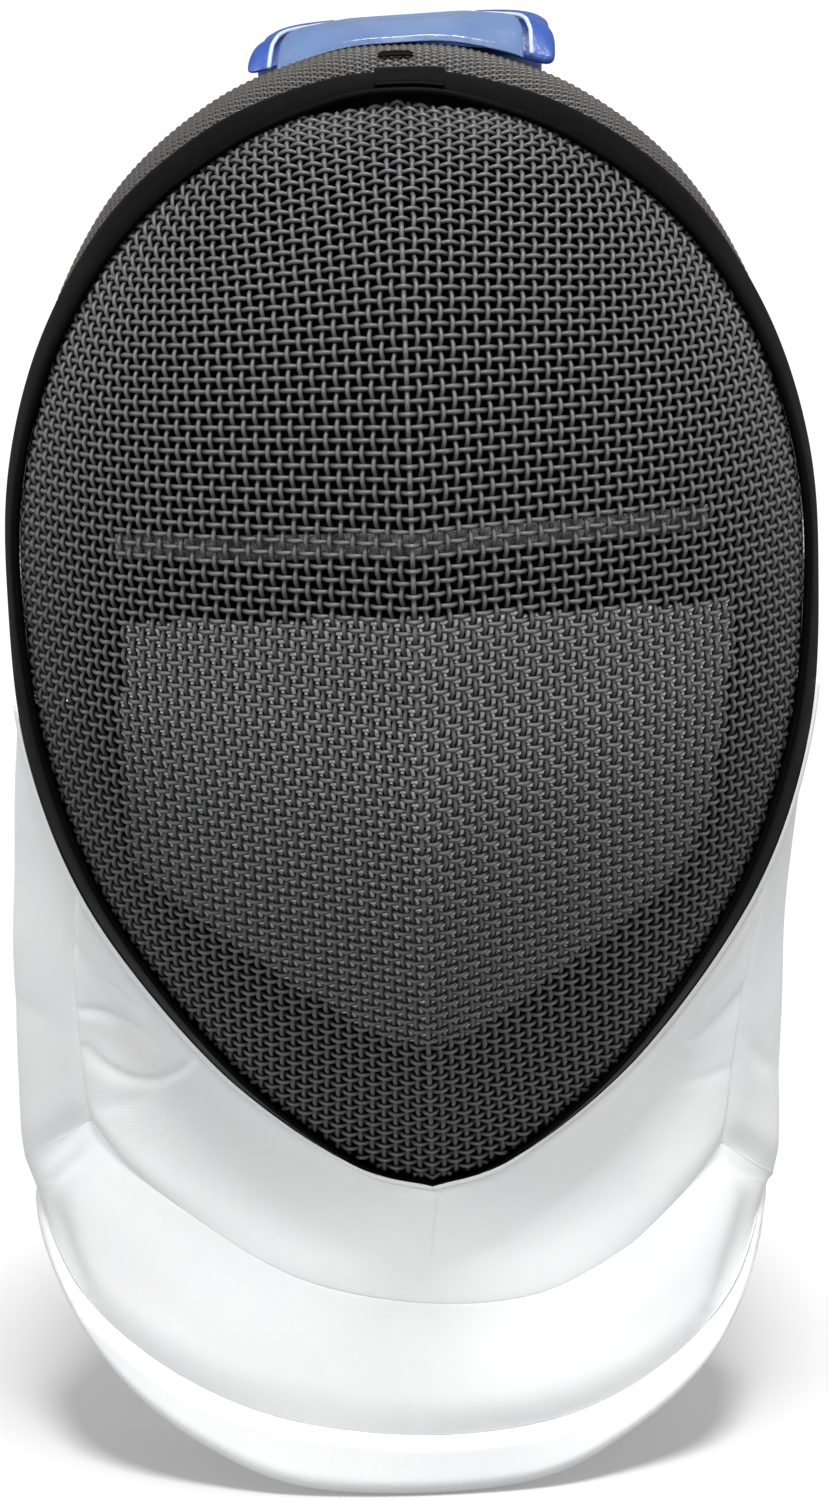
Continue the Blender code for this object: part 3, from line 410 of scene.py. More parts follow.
# %% The bowl's surface
CREASE_DEPTH = (75.6, 52.0, 34.7, 18.3, 7.0, 0.6, 0.3, 3.2, 9.4, 23.8, 47.3, 82.0)
CREASE_HEIGHT = (111.0, 103.2, 92.1, 73.3, 48.0, 18.0, -8.0, -30.4, -63.7, -99.7, -139.5, -181.7)
TUCK = 3.0
TUCK_GAP = 0.75
KEEL, KEEL_WIDTH = 1.7, 12.0
# The shares m and e in the formula below, each at the brow and how much it changes down to the chin;
# the change starts at one height and is done so many millimetres further down.
SHARE_M, SHARE_E = (0.56, 0.29), (0.35, -0.20)
CHIN_FROM, CHIN_SPAN = -40.0, 110.0

crease_at = np.linspace(0, len(CREASE_DEPTH) - 1, 801)
crease_y = straight_ends(CREASE_DEPTH, crease_at)
crease_z = straight_ends(CREASE_HEIGHT, crease_at)
tucked = fine_step - (fine_step - fine_thickness) * TUCK / RIM_WIDTH + TUCK_GAP
inner_x = np.maximum(fine_x - fine_out_x * tucked, 0.0)
inner_z = fine_z - fine_out_z * tucked


def bowl_half_width(z):
    """Half the bowl's width at a height, read off the rim's inner side."""
    return np.interp(z, inner_z[::-1], inner_x[::-1])


def bowl_depth(x, z):
    """Depth = crease + reach * (m s + c s^2 + e s^6), with s = |x| / half width and c = 1 - m - e.
    A small keel makes the crease crisp: KEEL * (1 - exp(-|x| / KEEL_WIDTH)) * (1 - s). It fades
    where the bowl is shallow."""
    s = np.clip(np.abs(x) / np.maximum(bowl_half_width(z), 0.5), 0.0, 1.0)
    low = np.clip((CHIN_FROM - z) / CHIN_SPAN, 0.0, 1.0)
    m, e = (at_brow + change * low for at_brow, change in (SHARE_M, SHARE_E))
    at_crease = np.interp(z, crease_z[::-1], crease_y[::-1])
    at_rim = np.interp(z, inner_z[::-1], fine_front[::-1]) + TUCK
    reach = np.maximum(at_rim - at_crease, 0.0)
    keel = KEEL * (1.0 - np.exp(-np.abs(x) / KEEL_WIDTH)) * (1.0 - s) * np.clip(reach / 30.0, 0, 1)
    return at_crease + reach * (m * s + (1 - m - e) * s ** 2 + e * s ** 6) + keel


at_rest = bowl_depth(np.array([0.0, 102.0]), np.zeros(2))
print("bowl depth at the crease and rim:", np.round(at_rest, 1))

# %% [markdown]
# ## Weaving
# The wires of the real sheet are 1.3 mm thick with their paint and cross every 3.25 mm, each passing
# over one and under the next. An image of a weave would go flat at the edges of the bowl, where the
# photograph shows every wire standing out, so the wires are real tubes. First comes a net: a fine grid
# on the bowl's skin whose cells are one pitch wide along the skin. Then each wire follows one line of
# the net and rises and falls by one wire radius, as the cosine of half a turn for each crossing.

# %% Weave helpers
PITCH = 3.25
WIRE_RADIUS = 0.65
HEAD_MIDDLE = np.array([0.0, 119.0, -30.0])


def weave(name, net, radius, sides):
    """Two pieces of one woven sheet, the level wires and the upright ones. A wire along row k sits at
    net + radius * cos(pi * (j + k)) * normal, where j counts the columns that it has crossed, and a
    wire along a column sits on the other side of the sheet at each crossing. Every point keeps its
    height above the sheet, from -1 to 1, as the attribute crest."""
    points, inside, row, column = net
    normal = normals_of(points)
    inwards = np.sum(normal * (points - HEAD_MIDDLE), axis=-1, keepdims=True) < 0
    normal = np.where(inwards, -normal, normal)
    wave = (np.cos(np.pi * (row[:, None] + column[None, :])) * radius)[..., None] * normal
    level = (points + wave, points, normal, inside, row)
    upright = tuple(a.swapaxes(0, 1) for a in (points - wave, points, normal, inside)) + (column,)
    pieces = []
    for kind, (grid, skin, side, mask, number) in (("level", level), ("upright", upright)):
        vertices, tubes, caps, crests, start = [], [], [], [], 0
        for line in np.flatnonzero(np.abs(number - np.round(number)) < 0.01):
            here = np.flatnonzero(mask[line])
            if len(here) < 4:
                continue
            rings = rings_along(grid[line, here], side[line, here], radius, sides)
            tubes.append(grid_quads(len(here), sides, wrap_columns=True) + start)
            last = start + (len(here) - 1) * sides
            caps.append(np.stack([np.arange(sides)[::-1] + start, np.arange(sides) + last]))
            vertices.append(rings.reshape(-1, 3))
            crests.append(np.sum((rings - skin[line, here][:, None]) * side[line, here][:, None], -1))
            start += len(here) * sides
        piece = new_piece(f"{name}_{kind}", np.concatenate(vertices),
                          [np.concatenate(tubes), np.concatenate(caps)])
        crest = piece.data.attributes.new("crest", "FLOAT", "POINT")
        crest.data.foreach_set("value", (np.concatenate(crests) / (2 * radius)).ravel())
        print(piece.name, "wires", len(tubes), "triangles", len(piece.data.loop_triangles))
        pieces.append(piece)
    return pieces


print("cells of", PITCH, "mm, wire of", 2 * WIRE_RADIUS, "mm")

# %% [markdown]
# ## The net on the bowl
# A pressed sheet of wire keeps its length along the crease and along each level wire, and its level
# wires dip at the chin and rise at the brow. A table says at which height each row meets the rim, and
# the points of a row are spaced evenly along the skin, as on the real sheet.

# %% The net on the bowl
ROW_AT_CREASE = (112, 106.3, 94.9, 82.4, 68.8, 43.7, 17.7, -14, -46.8, -82, -120.4, -141.8, -165.1,
                 -181.6)
ROW_AT_RIM = (109, 103, 87, 73, 60.5, 38, 15, -14, -44, -77, -114, -136, -161, -180.6)
PER_CELL = 3


def bowl_net(shift, set_back):
    """A net over the bowl: its points, which of them lie on it, and each one's row and column number.

    Rows start at equal distances along the crease and run to the rim at heights from a table, and
    their points lie at equal distances along the skin. shift moves the net by part of a cell, and
    set_back moves it into the mask: straight back, by set_back / (the share of its normal along y).
    """
    walked = np.concatenate(([0.0], np.cumsum(np.hypot(np.diff(crease_y), np.diff(crease_z)))))
    row = np.arange(0, int(walked[-1] / PITCH - shift) * PER_CELL + 1) / PER_CELL
    start = np.interp((row + shift) * PITCH, walked, crease_z)
    end = np.interp(start, ROW_AT_CREASE[::-1], ROW_AT_RIM[::-1])
    s = np.linspace(0, 1, 301)[None, :]
    z = start[:, None] + (end - start)[:, None] * s
    x = s * bowl_half_width(z)
    skin = np.stack([x, bowl_depth(x, z), z], axis=-1)
    distance = lengths_along(skin, 1)
    most = int(distance[:, -1].max() / PITCH) * PER_CELL
    column = np.arange(-most, most + 1) / PER_CELL
    wanted = (column + shift) * PITCH
    points = np.empty((len(row), len(column), 3))
    for k in range(len(row)):
        for axis in range(3):
            points[k, :, axis] = np.interp(np.abs(wanted), distance[k], skin[k, :, axis])
    points[..., 0] *= np.sign(wanted)
    inside = np.abs(wanted)[None, :] <= distance[:, -1:]
    share = np.clip(np.abs(normals_of(points)[..., 1]), 0.6, 1.0)
    points[..., 1] += set_back / share
    return points, inside, row, column


front_wires = weave("front", bowl_net(shift=0.0, set_back=1.15), WIRE_RADIUS, sides=5)
for piece in front_wires:
    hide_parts("front_mesh")

# %% [markdown]
# ## The second layer
# A second sheet of bare steel wire stiffens the lower half, just inside the first. It is cut to a
# stepped outline and laid half a cell off, so its knuckles fill the holes of the first sheet, where
# they are coloured bright as painted highlight. Laying it exactly behind the first would hide it, and
# a plain lighter colour would lose that painted highlight on each knuckle.

# %% Second net, cut to its outline
DOUBLE = {
    "height": (-133.0, -118.0, -107.0, -97.0, -88.0, -73.0, -45.0, -16.0, -6.0),
    "right": (-11.0, -34.0, -49.0, -63.0, -75.0, -77.5, -76.5, -75.5, -75.5),
    "left": (10.0, 32.0, 48.0, 62.0, 70.0, 76.0, 80.0, 83.0, 83.0),
}
points, inside, row, column = bowl_net(shift=0.5, set_back=3.95)
x, z = points[..., 0], points[..., 2]
upper_edge = -16.0 + 8.0 * (1.0 - np.abs(x) / 83.0)
right_edge = np.interp(z, DOUBLE["height"], DOUBLE["right"])
left_edge = np.interp(z, DOUBLE["height"], DOUBLE["left"])
inside &= (z < upper_edge) & (z > DOUBLE["height"][0]) & (x > right_edge) & (x < left_edge)
double_wires = weave("double", (points, inside, row, column), WIRE_RADIUS, sides=5)
for piece in double_wires:
    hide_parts("double_mesh")
print("second layer between", DOUBLE["height"][0], "and", upper_edge.max().round(), "mm")

# %% [markdown]
# ## The band seen through the mesh
# A light band crosses the inside of the bowl at eye height. It is a flat strip that bows back in the
# middle, because it is fixed to the bowl's two sides and has to clear the nose.

# %% Brow band
BROW_HALF, BROW_WIDTH = 76.0, 6.4
BROW_HEIGHT, BROW_SLOPE = 5.0, 0.018
BROW_BACK = 30.0
across, share = np.meshgrid(np.linspace(-BROW_HALF, BROW_HALF, 121), np.linspace(-0.5, 0.5, 9))
up = BROW_HEIGHT + BROW_WIDTH * share + BROW_SLOPE * across
ends = bowl_depth(np.array(BROW_HALF), np.array(4.4)) + 4.0
back = BROW_BACK + (ends - BROW_BACK) * (across / BROW_HALF) ** 2 + 0.9 * (2 * share) ** 4
strip = np.stack([across, back, up], axis=-1)
brow_band = wall("brow_strip", strip, strip + np.array([0.0, 1.3, 0.0]))
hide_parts("brow_band")
print("brow band", round(float(lengths_along(strip, 1)[:, -1].mean())), "mm long")

# %% [markdown]
# ## The trim
# The trim is a folded band that clamps the bowl and the crown together. It is swept round the rim: one
# small cross-section, repeated at every station. Its front edge steps in from its back edge, so the
# band leans, and its edges are rounded, because a thin line of light there makes it read as solid.

# %% Trim and its joint
def rim_frames(stations, sign):
    """At each station: the front edge, the vector to the back edge, and the direction off the band."""
    x, z, front, step, out_x, out_z = rim_at(stations)
    out = np.stack([sign * out_x, np.zeros_like(x), out_z], axis=-1)
    back_edge = np.stack([sign * x, front + RIM_WIDTH, z], axis=-1)
    front_edge = back_edge - out * (step - thickness_at(stations))[:, None]
    front_edge[:, 1] = front
    along = back_edge - front_edge
    return front_edge, along, unit(np.cross(along, np.cross(out, along)))


def rounded_band(count, bulge):
    """The trim's cross-section as (share along its width, share of its thickness): a flat rectangle
    with half-round edges, standing out by bulge in the middle of its outer side."""
    turn = np.linspace(0, np.pi, count)
    flat = np.linspace(0.08, 0.92, 7)
    front = np.stack([0.08 - 0.08 * np.sin(turn), -0.5 - 0.5 * np.cos(turn)], axis=-1)
    back = np.stack([0.92 + 0.08 * np.sin(turn), -0.5 + 0.5 * np.cos(turn)], axis=-1)
    outer = np.stack([flat[::-1], bulge * np.sin(np.pi * flat)[::-1]], axis=-1)
    inner = np.stack([flat, np.full(7, -1.0)], axis=-1)
    return np.concatenate([front[::-1][:-1], inner[:-1], back[::-1][:-1], outer[:-1]])


def trim_rings(count, profile):
    """The trim's cross-sections once round the whole rim."""
    stations = np.linspace(0, LAST, count)
    left = rim_frames(stations, 1)
    right = rim_frames(stations[-2:0:-1], -1)
    front, along, off = (np.concatenate(pair) for pair in zip(left, right))
    thick = np.concatenate([thickness_at(stations), thickness_at(stations[-2:0:-1])])[:, None, None]
    return (front[:, None] + along[:, None] * profile[None, :, :1]
            + off[:, None] * profile[None, :, 1:] * thick)


trim = tube("trim_band", trim_rings(320, rounded_band(7, 0.12)), wrap=True)
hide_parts("trim")

# The lap runs from a little to the right of the top to further on the left, in stations of the rim.
LAP_LEFT, LAP_RIGHT = 0.66, 0.3
LAP_RISE, LAP_SINK = 0.5, 0.45
lap = rim_frames(np.linspace(0, LAP_LEFT, 24), 1), rim_frames(np.linspace(0, LAP_RIGHT, 24), -1)
front, along, off = (np.concatenate([b[:0:-1], a]) for a, b in zip(*lap))
width = np.linspace(0.04, 0.96, 13)
thin = (1.0 - (2 * width - 1) ** 6 * 0.6)[None, :, None]
strip = front[:, None] + along[:, None] * width[None, :, None]
joint = wall("trim_lap", strip + off[:, None] * (LAP_RISE + 0.9 * thin),
             strip + off[:, None] * LAP_SINK)
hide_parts("trim_joint")
print("trim triangles", len(trim.data.loop_triangles))

# %% [markdown]
# ## The crown
# Over the head the mask is one curved sheet of wire, rolled at its back edge round a cord. Seen from
# the front each row of it is the rim's outline drawn larger or smaller, and the scale follows a circle
# seen from the side: sqrt(1 - (d / radius)^2), where d is the distance from the dome's middle.

# %% The dome
CROWN_RADIUS = 107.0
CROWN_MIDDLE = 119.0
CROWN_HEIGHT = -7.0
CROWN_FRONT = 87.0
RIM_GAP = 3.1
CROWN_TUCK = 1.2
TEMPLE_INSET = 3.5
JAW = -45.0
# How far back a layer reaches over the head and beside the jaw.
MESH_BACK, LINING_BACK, NECK_BACK = (185.0, 150.0), (189.0, 165.0), (184.0, 160.0)
rim_turn = np.arctan2(fine_x, fine_z - CROWN_HEIGHT)
rim_reach = np.hypot(fine_x, fine_z - CROWN_HEIGHT)
end_turn = float(np.interp(JAW, fine_z[::-1], rim_turn[::-1]))


def circle(depth, radius):
    """Height of the side-view circle at a depth, as a share of its radius."""
    return np.sqrt(np.clip(1 - ((depth - CROWN_MIDDLE) / radius) ** 2, 0, 1))


def dome(rows, turn, inset, back):
    """Points of a layer of the dome, inset from its outer side, at shares 0 to 1 from front to back
    and at angles turn from straight up."""
    height = np.interp(np.abs(turn), rim_turn, fine_z)
    share = np.clip((height - JAW) / (fine_z[0] - JAW), 0, 1)
    front = np.interp(np.abs(turn), rim_turn, fine_front) + RIM_WIDTH - CROWN_TUCK
    end = back[1] + (back[0] - back[1]) * share ** 0.8
    depth = front + (end - front)[None, :] * rows[:, None]
    outline = np.interp(np.abs(turn), rim_turn, rim_reach) - RIM_GAP - TEMPLE_INSET * np.sin(turn) ** 2
    reach = (outline / circle(CROWN_FRONT, CROWN_RADIUS) - inset) * circle(depth, CROWN_RADIUS - inset)
    return np.stack([reach * np.sin(turn), depth, CROWN_HEIGHT + reach * np.cos(turn)], axis=-1)


print("the crown spans", round(2 * float(np.degrees(end_turn))), "degrees of the rim")

# %% [markdown]
# ## The crown's wires
# The crown's wire is finer than the bowl's. Its upright wires start evenly spaced along the front of
# the dome and run straight back, so one call of the same weave makes it. The cord at its back edge
# hides the cut ends, as a bound edge does on the real mask.

# %% Crown wires and their bound edge
CROWN_PITCH = 2.05
CROWN_WIRE_RADIUS = 0.48
fan = np.linspace(-end_turn, end_turn, 601)
edge_length = lengths_along(dome(np.array([0.0, 0.3]), fan, 0.0, MESH_BACK)[1], 0)
most = int(edge_length[-1] / 2 / CROWN_PITCH) * 2
column = np.arange(-most, most + 1) / 2
turn = np.interp(column * CROWN_PITCH, edge_length - edge_length[-1] / 2, fan)
fine_rows = dome(np.linspace(0, 1, 201), turn, 1.15, MESH_BACK)
walked = lengths_along(fine_rows, 0)
row = np.arange(0, int(walked[-1].max() / CROWN_PITCH) * 2 + 1) / 2
points = np.stack([np.stack([np.interp(row * CROWN_PITCH, walked[:, j], fine_rows[:, j, a])
                             for a in range(3)], -1) for j in range(len(column))], axis=1)
inside = row[:, None] * CROWN_PITCH <= walked[-1][None, :]
crown_wires = weave("crown", (points, inside, row, column), CROWN_WIRE_RADIUS, sides=4)
for piece in crown_wires:
    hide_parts("crown_mesh")

edge = dome(np.linspace(0, 1, 13), np.linspace(-end_turn, end_turn, 241), 1.0, MESH_BACK)
outwards = unit(edge[-1] - edge[-2])
binding = tube("crown_edge_cord", rings_along(edge[-1] + outwards * 2.95, outwards, 2.6, 14))
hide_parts("crown_binding")

# %% [markdown]
# ## Head lining
# Black padding lies under the crown's wire and is turned down at the front to meet the trim, so that
# no light comes through behind the mesh. It is the same dome, drawn once more a little smaller, with
# its front row blended to a line inside the rim. The padding gets thin at its edges, as sewn felt does.

# %% Head lining
LINING_INSET, LINING_THICK = 3.6, 6.0
lining_turn = np.linspace(-end_turn, end_turn, 161)
rows = np.linspace(0, 1, 49)
lining_outer = dome(rows, lining_turn, LINING_INSET, LINING_BACK)
lining_inner = dome(rows, lining_turn, LINING_INSET + LINING_THICK, LINING_BACK)
full = 0.55 + 0.45 * (1.0 - (2 * rows - 1) ** 12)
lining_inner = lining_outer + (lining_inner - lining_outer) * full[:, None, None]
reach, step, front = (np.interp(np.abs(lining_turn), rim_turn, v)
                      for v in (rim_reach, fine_step, fine_front))
reach = reach - (RIM["thickness"][0] + (step - RIM["thickness"][0]) * 0.55) - 1.0
hem = np.stack([reach * np.sin(lining_turn), front + 0.45 * RIM_WIDTH,
                CROWN_HEIGHT + reach * np.cos(lining_turn)], axis=-1)[None]
blend = np.linspace(0, 1, 6)[:-1, None, None]
lining_outer = np.concatenate([hem + (lining_outer[:1] - hem) * blend, lining_outer])
hem = hem + (lining_inner[:1] - lining_outer[5:6]) * 0.2
lining_inner = np.concatenate([hem + (lining_inner[:1] - hem) * blend, lining_inner])
lining = wall("head_lining", lining_outer, lining_inner)
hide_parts("crown_lining")
print("lining", LINING_THICK, "mm thick")

# %% [markdown]
# ## The bib's sewn lines
# The bib is quilted cotton, sewn in two rows of padding and a narrow hem. Its pattern is four sewn
# lines: top on the rim, mid and seam across it, and hem at its free edge. Each is a curve through a
# few points of the left half, and a line may have one corner, where the side panels join. All the
# padding hangs between these lines, so neighbouring panels can share them.

# %% Sewn lines
BIB_COLUMNS = ("top_x", "top_y", "top_z", "mid_x", "mid_y", "mid_z",
               "seam_x", "seam_y", "seam_z", "hem_x", "hem_y", "hem_z")
BIB_ROWS = (
    (0.0, 93.6, -186.8, 0.0, 87.0, -219.5, 0.0, 86.0, -257.8, 0.0, 86.0, -275.0),
    (31.3, 93.5, -173.6, 31.0, 88.5, -215.5, 32.0, 88.0, -255.0, 34.0, 88.5, -272.6),
    (57.8, 92.8, -152.0, 56.0, 93.5, -203.0, 56.0, 94.0, -248.0, 58.0, 94.5, -262.5),
    (79.7, 92.0, -124.5, 75.0, 99.5, -188.5, 77.0, 102.5, -235.5, 79.5, 103.0, -247.5),
    (93.9, 91.4, -98.0, 87.0, 107.0, -176.3, 92.0, 114.5, -221.0, 95.0, 115.0, -228.5),
    (106.3, 91.0, -48.5, 105.0, 131.0, -194.0, 103.0, 136.0, -202.0, 103.5, 137.0, -212.0),
    (101.0, 151.0, -47.0, 101.0, 156.0, -194.0, 100.0, 158.0, -200.0, 101.0, 159.0, -209.5),
)
SEWN = {name: np.array([r[k] for r in BIB_ROWS]) for k, name in enumerate(BIB_COLUMNS)}
SIDE, BACK = 4.0, 6.0
CORNERS = {"mid": 4, "top": 5}


def sewn_line(line, stations):
    """One sewn line at stations from -6, the right back edge, to 6, the left back edge. At a corner
    one curve ends and the next one starts."""
    at = np.abs(stations) + 1.0
    corner = CORNERS.get(line, 6) + 1
    values = [np.concatenate(([m * SEWN[line + a][1]], SEWN[line + a]))
              for a, m in (("_x", -1), ("_y", 1), ("_z", 1))]
    x, y, z = (straight_ends(v[:corner + 1], np.minimum(at, corner)) for v in values)
    if line in CORNERS:
        after = [straight_ends(v[corner:], np.maximum(at - corner, 0.0)) for v in values]
        x, y, z = (np.where(at <= corner, a, b) for a, b in zip((x, y, z), after))
    return np.stack([x * np.sign(stations), y, z], axis=-1)


hem_line = sewn_line("hem", np.linspace(-BACK, BACK, 401))
print("hem", round(float(lengths_along(hem_line, 0)[-1])), "mm long")

# %% [markdown]
# ## The bib's swing
# The mask leans a little in the photograph, and its bib still hangs plumb. Leaning the whole object
# would be simpler, but then the part would stand crooked everywhere else. So only the cloth swings to
# one side, by a table for each sewn line.

# %% Swing
# Millimetres to one side at stations -6 to 6.
SWING = {
    "mid": (-9.0, -9.8, -7.6, -8.3, -7.4, -5.8, -4.3, -4.3, -4.9, -6.0, -6.1, -8.5, -8.5),
    "seam": (-9.5, -9.0, -10.0, -9.0, -7.9, -6.4, -5.2, -5.6, -5.7, -5.2, -6.0, -9.0, -9.3),
    "hem": (-9.5, -8.0, -7.3, -7.2, -7.6, -6.4, -5.2, -5.8, -5.7, -6.0, -7.5, -9.3, -9.5),
}
FALLS = (0.0, 0.5, 0.9, 1.0)
SKEW, SKEW_REACH = 6.3, 60.0
SKEW_SHARE = (0.0, 1.0, 0.35, 0.0)


def swung(points, stations, fall):
    """Swings points by the table, at their fall from 0 on the rim over 0.5 at the middle line and 0.9
    at the hem's seam to 1; down to the middle line it grows as 1 - (1 - fall)^4. The middle line also
    sinks by SKEW on one side and rises as much on the other."""
    mid, seam, hem = (straight_ends(SWING[k], stations + 6.0)[None, :] for k in ("mid", "seam", "hem"))
    fall = fall[:, None]
    swing = mid * np.minimum((1 - (1 - fall) ** 4) / (1 - (1 - FALLS[1]) ** 4), 1.0)
    swing = swing + (seam - mid) * np.clip((fall - FALLS[1]) / (FALLS[2] - FALLS[1]), 0, 1)
    swing = swing + (hem - seam) * np.clip((fall - FALLS[2]) / (FALLS[3] - FALLS[2]), 0, 1)
    points = points.copy()
    skew = SKEW * np.interp(fall, FALLS, SKEW_SHARE)
    points[..., 2] -= skew * np.clip(points[..., 0] / SKEW_REACH, -1, 1)
    points[..., 0] += swing
    return points


print("the hem swings", min(SWING["hem"]), "to", max(SWING["hem"]), "mm")

# %% [markdown]
# ## Folds
# The thread pulls short folds into the cloth beside the trim, and each of them shows in the photograph.
# A cloth simulation would make folds of its own somewhere else, and sculpting can't be repeated. Here a
# fold is a curve drawn over the photograph, and a point of the cloth sinks by how near that curve it
# falls when it is seen through the camera.

# %% Folds and ripples
# The three control points of each fold's curve in pixels, from left to right, its half width in
# pixels, its depth in millimetres, and how much of that depth the cloth swells up again below it.
FOLDS = (
    ((76, 940), (98, 984), (142, 1010), 5, 1.15, 0.2),
    ((84, 1009), (116, 1010), (152, 1047), 5, 1.1, 0.3),
    ((89, 1047), (128, 1108), (192, 1062), 5, 1.2, 0.25),
    ((98, 1106), (124, 1107), (152, 1090), 8, 0.35, 0.2),
    ((36, 1164), (56, 1146), (80, 1120), 13, 1.5, 0.0),
    ((50, 1186), (68, 1166), (90, 1146), 9, 0.9, 0.0),
    ((44, 1186), (58, 1232), (84, 1296), 18, 2.6, 0.0),
    ((20, 1000), (34, 1016), (52, 1024), 11, 0.3, 0.2),
    ((118, 1152), (150, 1178), (190, 1204), 10, -0.3, 0.0),
    ((438, 1192), (434, 1225), (431, 1262), 3, 0.6, 0.0),
    ((431, 1250), (428, 1272), (427, 1298), 7, 0.3, 0.0),
    ((425, 1312), (423, 1370), (420, 1425), 7, 0.4, 0.0),
    ((700, 1042), (726, 1024), (744, 984), 5, 1.4, 0.1),
    ((712, 998), (738, 970), (752, 925), 6, 0.8, 0.1),
    ((690, 1084), (710, 1079), (734, 1062), 6, 0.4, 0.0),
    ((634, 1104), (655, 1080), (672, 1056), 12, 0.9, 0.0),
    ((734, 1140), (746, 1150), (760, 1162), 13, 1.7, 0.0),
    ((728, 1160), (740, 1168), (756, 1180), 9, 0.9, 0.0),
    ((718, 1310), (746, 1245), (756, 1180), 19, 3.4, 0.0),
    ((752, 1040), (760, 1062), (770, 1070), 10, 0.6, 0.1),
)


def pixels(points):
    """Where points of the face frame fall in the photograph, in its pixels from the top left."""
    seen = place(points) - eye
    scale = FOCAL_PIXELS / (seen @ forward)
    return np.stack([PHOTO_WIDTH / 2 + scale * (seen @ axes[:, 0]),
                     PHOTO_HEIGHT / 2 - scale * (seen @ axes[:, 1])], axis=-1)


def folds(points):
    """Depth of all folds at each point: depth * (exp(-(d / w)^2) - swell * exp(-((d - 2.4 w) /
    1.8 w)^2)), with w the half width and d the distance from the fold's curve in the photograph,
    positive below it. Each fold fades out over its curve's two ends."""
    at = pixels(points)
    t = np.linspace(0, 1, 49)[:, None]
    total = np.zeros(points.shape[:-1])
    for first, bend, last, width, deep, swell in FOLDS:
        curve = (1 - t) ** 2 * first + 2 * t * (1 - t) * bend + t ** 2 * last
        gaps = np.linalg.norm(at[..., None, :] - curve, axis=-1)
        nearest = np.argmin(gaps, axis=-1)
        taper = np.sin(np.pi * np.clip(0.08 + 0.84 * nearest / 48.0, 0, 1)) ** 0.6
        step = np.gradient(curve, axis=0)[nearest]
        to = at - curve[nearest]
        below = gaps.min(axis=-1) * np.sign(step[..., 0] * to[..., 1] - step[..., 1] * to[..., 0])
        rise = swell * np.exp(-((below - 2.4 * width) / (1.8 * width)) ** 2)
        total += deep * taper * (np.exp(-(below / width) ** 2) - rise)
    return total


def ripple(points):
    """Slow unevenness of hand-sewn cloth: three crossed sine waves of 50 to 150 mm."""
    x, y, z = points[..., 0], points[..., 1], points[..., 2]
    return (0.35 * np.sin(x / 14.0 + 0.8 * np.sin(z / 23.0)) * np.sin(z / 17.0 + y / 25.0)
            + 0.30 * np.sin((x + 1.3 * z) / 24.0 + 1.1) + 0.12 * np.sin((y - z) / 9.0 + x / 23.0))


print("folds:", len(FOLDS))

# %% [markdown]
# ## The bib's panels
# Each panel swells between its seams and turns in at them. A sewn line is what the eye looks for on
# white cloth, so the panels are separate bodies with a real groove between them. Every panel comes out
# of one function, because they differ only in their seams and in how thick the padding is.

# %% Panels
STITCH_DEPTH = 0.8
NECK_AXIS = np.array([0.0, 150.0, 0.0])


def panel(name, upper, lower, falls, first, last, size, edges, puff, thickness, hollow=0.0):
    """A padded panel between two sewn lines, from station first to last.

    With e the distance to a seam in millimetres, the cloth stands puff * sin(pi / 2 * e / edge)^0.8
    off the line through the seams, so each seam lies in a crease. edges are those distances at its
    upper, lower and end seams. Between its upper and lower seams it hangs hollow by
    hollow * sin(pi * share). Folds and ripples are added too, all straight away from the neck.
    """
    rows, columns = size
    even = np.pi * np.linspace(0, 1, rows)
    share = 0.5 - 0.5 * np.cos(even) * (1 - 0.3 * np.sin(even))
    stations = np.linspace(first + 0.0012, last - 0.0012, columns)
    start, end = sewn_line(upper, stations)[None], sewn_line(lower, stations)[None]
    across = np.linalg.norm(end - start, axis=-1)
    shrunk = np.clip((across - 0.08) / across, 0.5, 1.0)[..., None]
    flat = 0.5 * (start + end) + (end - start) * (share[:, None, None] - 0.5) * shrunk
    lengthwise = lengths_along(flat, 1)
    to_end = np.minimum(lengthwise, lengthwise[:, -1:] - lengthwise)
    height = 1.0
    for distance, edge in ((share[:, None] * across, edges[0]),
                           ((1 - share[:, None]) * across, edges[1]), (to_end, edges[2])):
        height = height * np.sin(0.5 * np.pi * np.clip(distance / edge, 0, 1)) ** 0.8
    flat = swung(flat, stations, falls[0] + (falls[1] - falls[0]) * share)
    raised = (puff + STITCH_DEPTH) * height - STITCH_DEPTH
    raised = raised + (ripple(flat) - folds(flat)) * height ** 0.6
    raised = raised - hollow * np.sin(np.pi * share[:, None]) * np.clip(to_end / 30.0, 0, 1)
    away = unit((flat - NECK_AXIS) * np.array([1.2, 1.0, 0.0]))
    piece = wall(name, flat + away * raised[..., None],
                 flat - away * (thickness - 0.4 * (1 - height[..., None])))
    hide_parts(name.replace("quilt", "bib"))
    print(name, "triangles", len(piece.data.loop_triangles))
    return piece


# The last numbers of a panel are the rows and columns of its grid, the widths over which it turns in
# at its upper, lower and end seams, its puff, its thickness and how far it hangs hollow.
TOP, MID, SEAM, HEM = FALLS
bib = [
    panel("quilt_upper", "top", "mid", (TOP, MID), -SIDE, SIDE,
          (121, 401), (6, 10, 6), 1.5, 5.0, 3.8),
    panel("quilt_side_left", "top", "mid", (TOP, MID), SIDE, BACK,
          (141, 81), (6, 12, 6), 0.5, 5.0, 1.2),
    panel("quilt_side_right", "top", "mid", (TOP, MID), -BACK, -SIDE,
          (141, 81), (6, 12, 6), 0.5, 5.0, 1.2),
    panel("quilt_lower", "mid", "seam", (MID, SEAM), -BACK, BACK, (65, 401), (24, 13, 8), 2.0, 5.0),
    panel("quilt_hem", "seam", "hem", (SEAM, HEM), -BACK, BACK, (25, 401), (4, 5, 5), 1.6, 3.0),
]

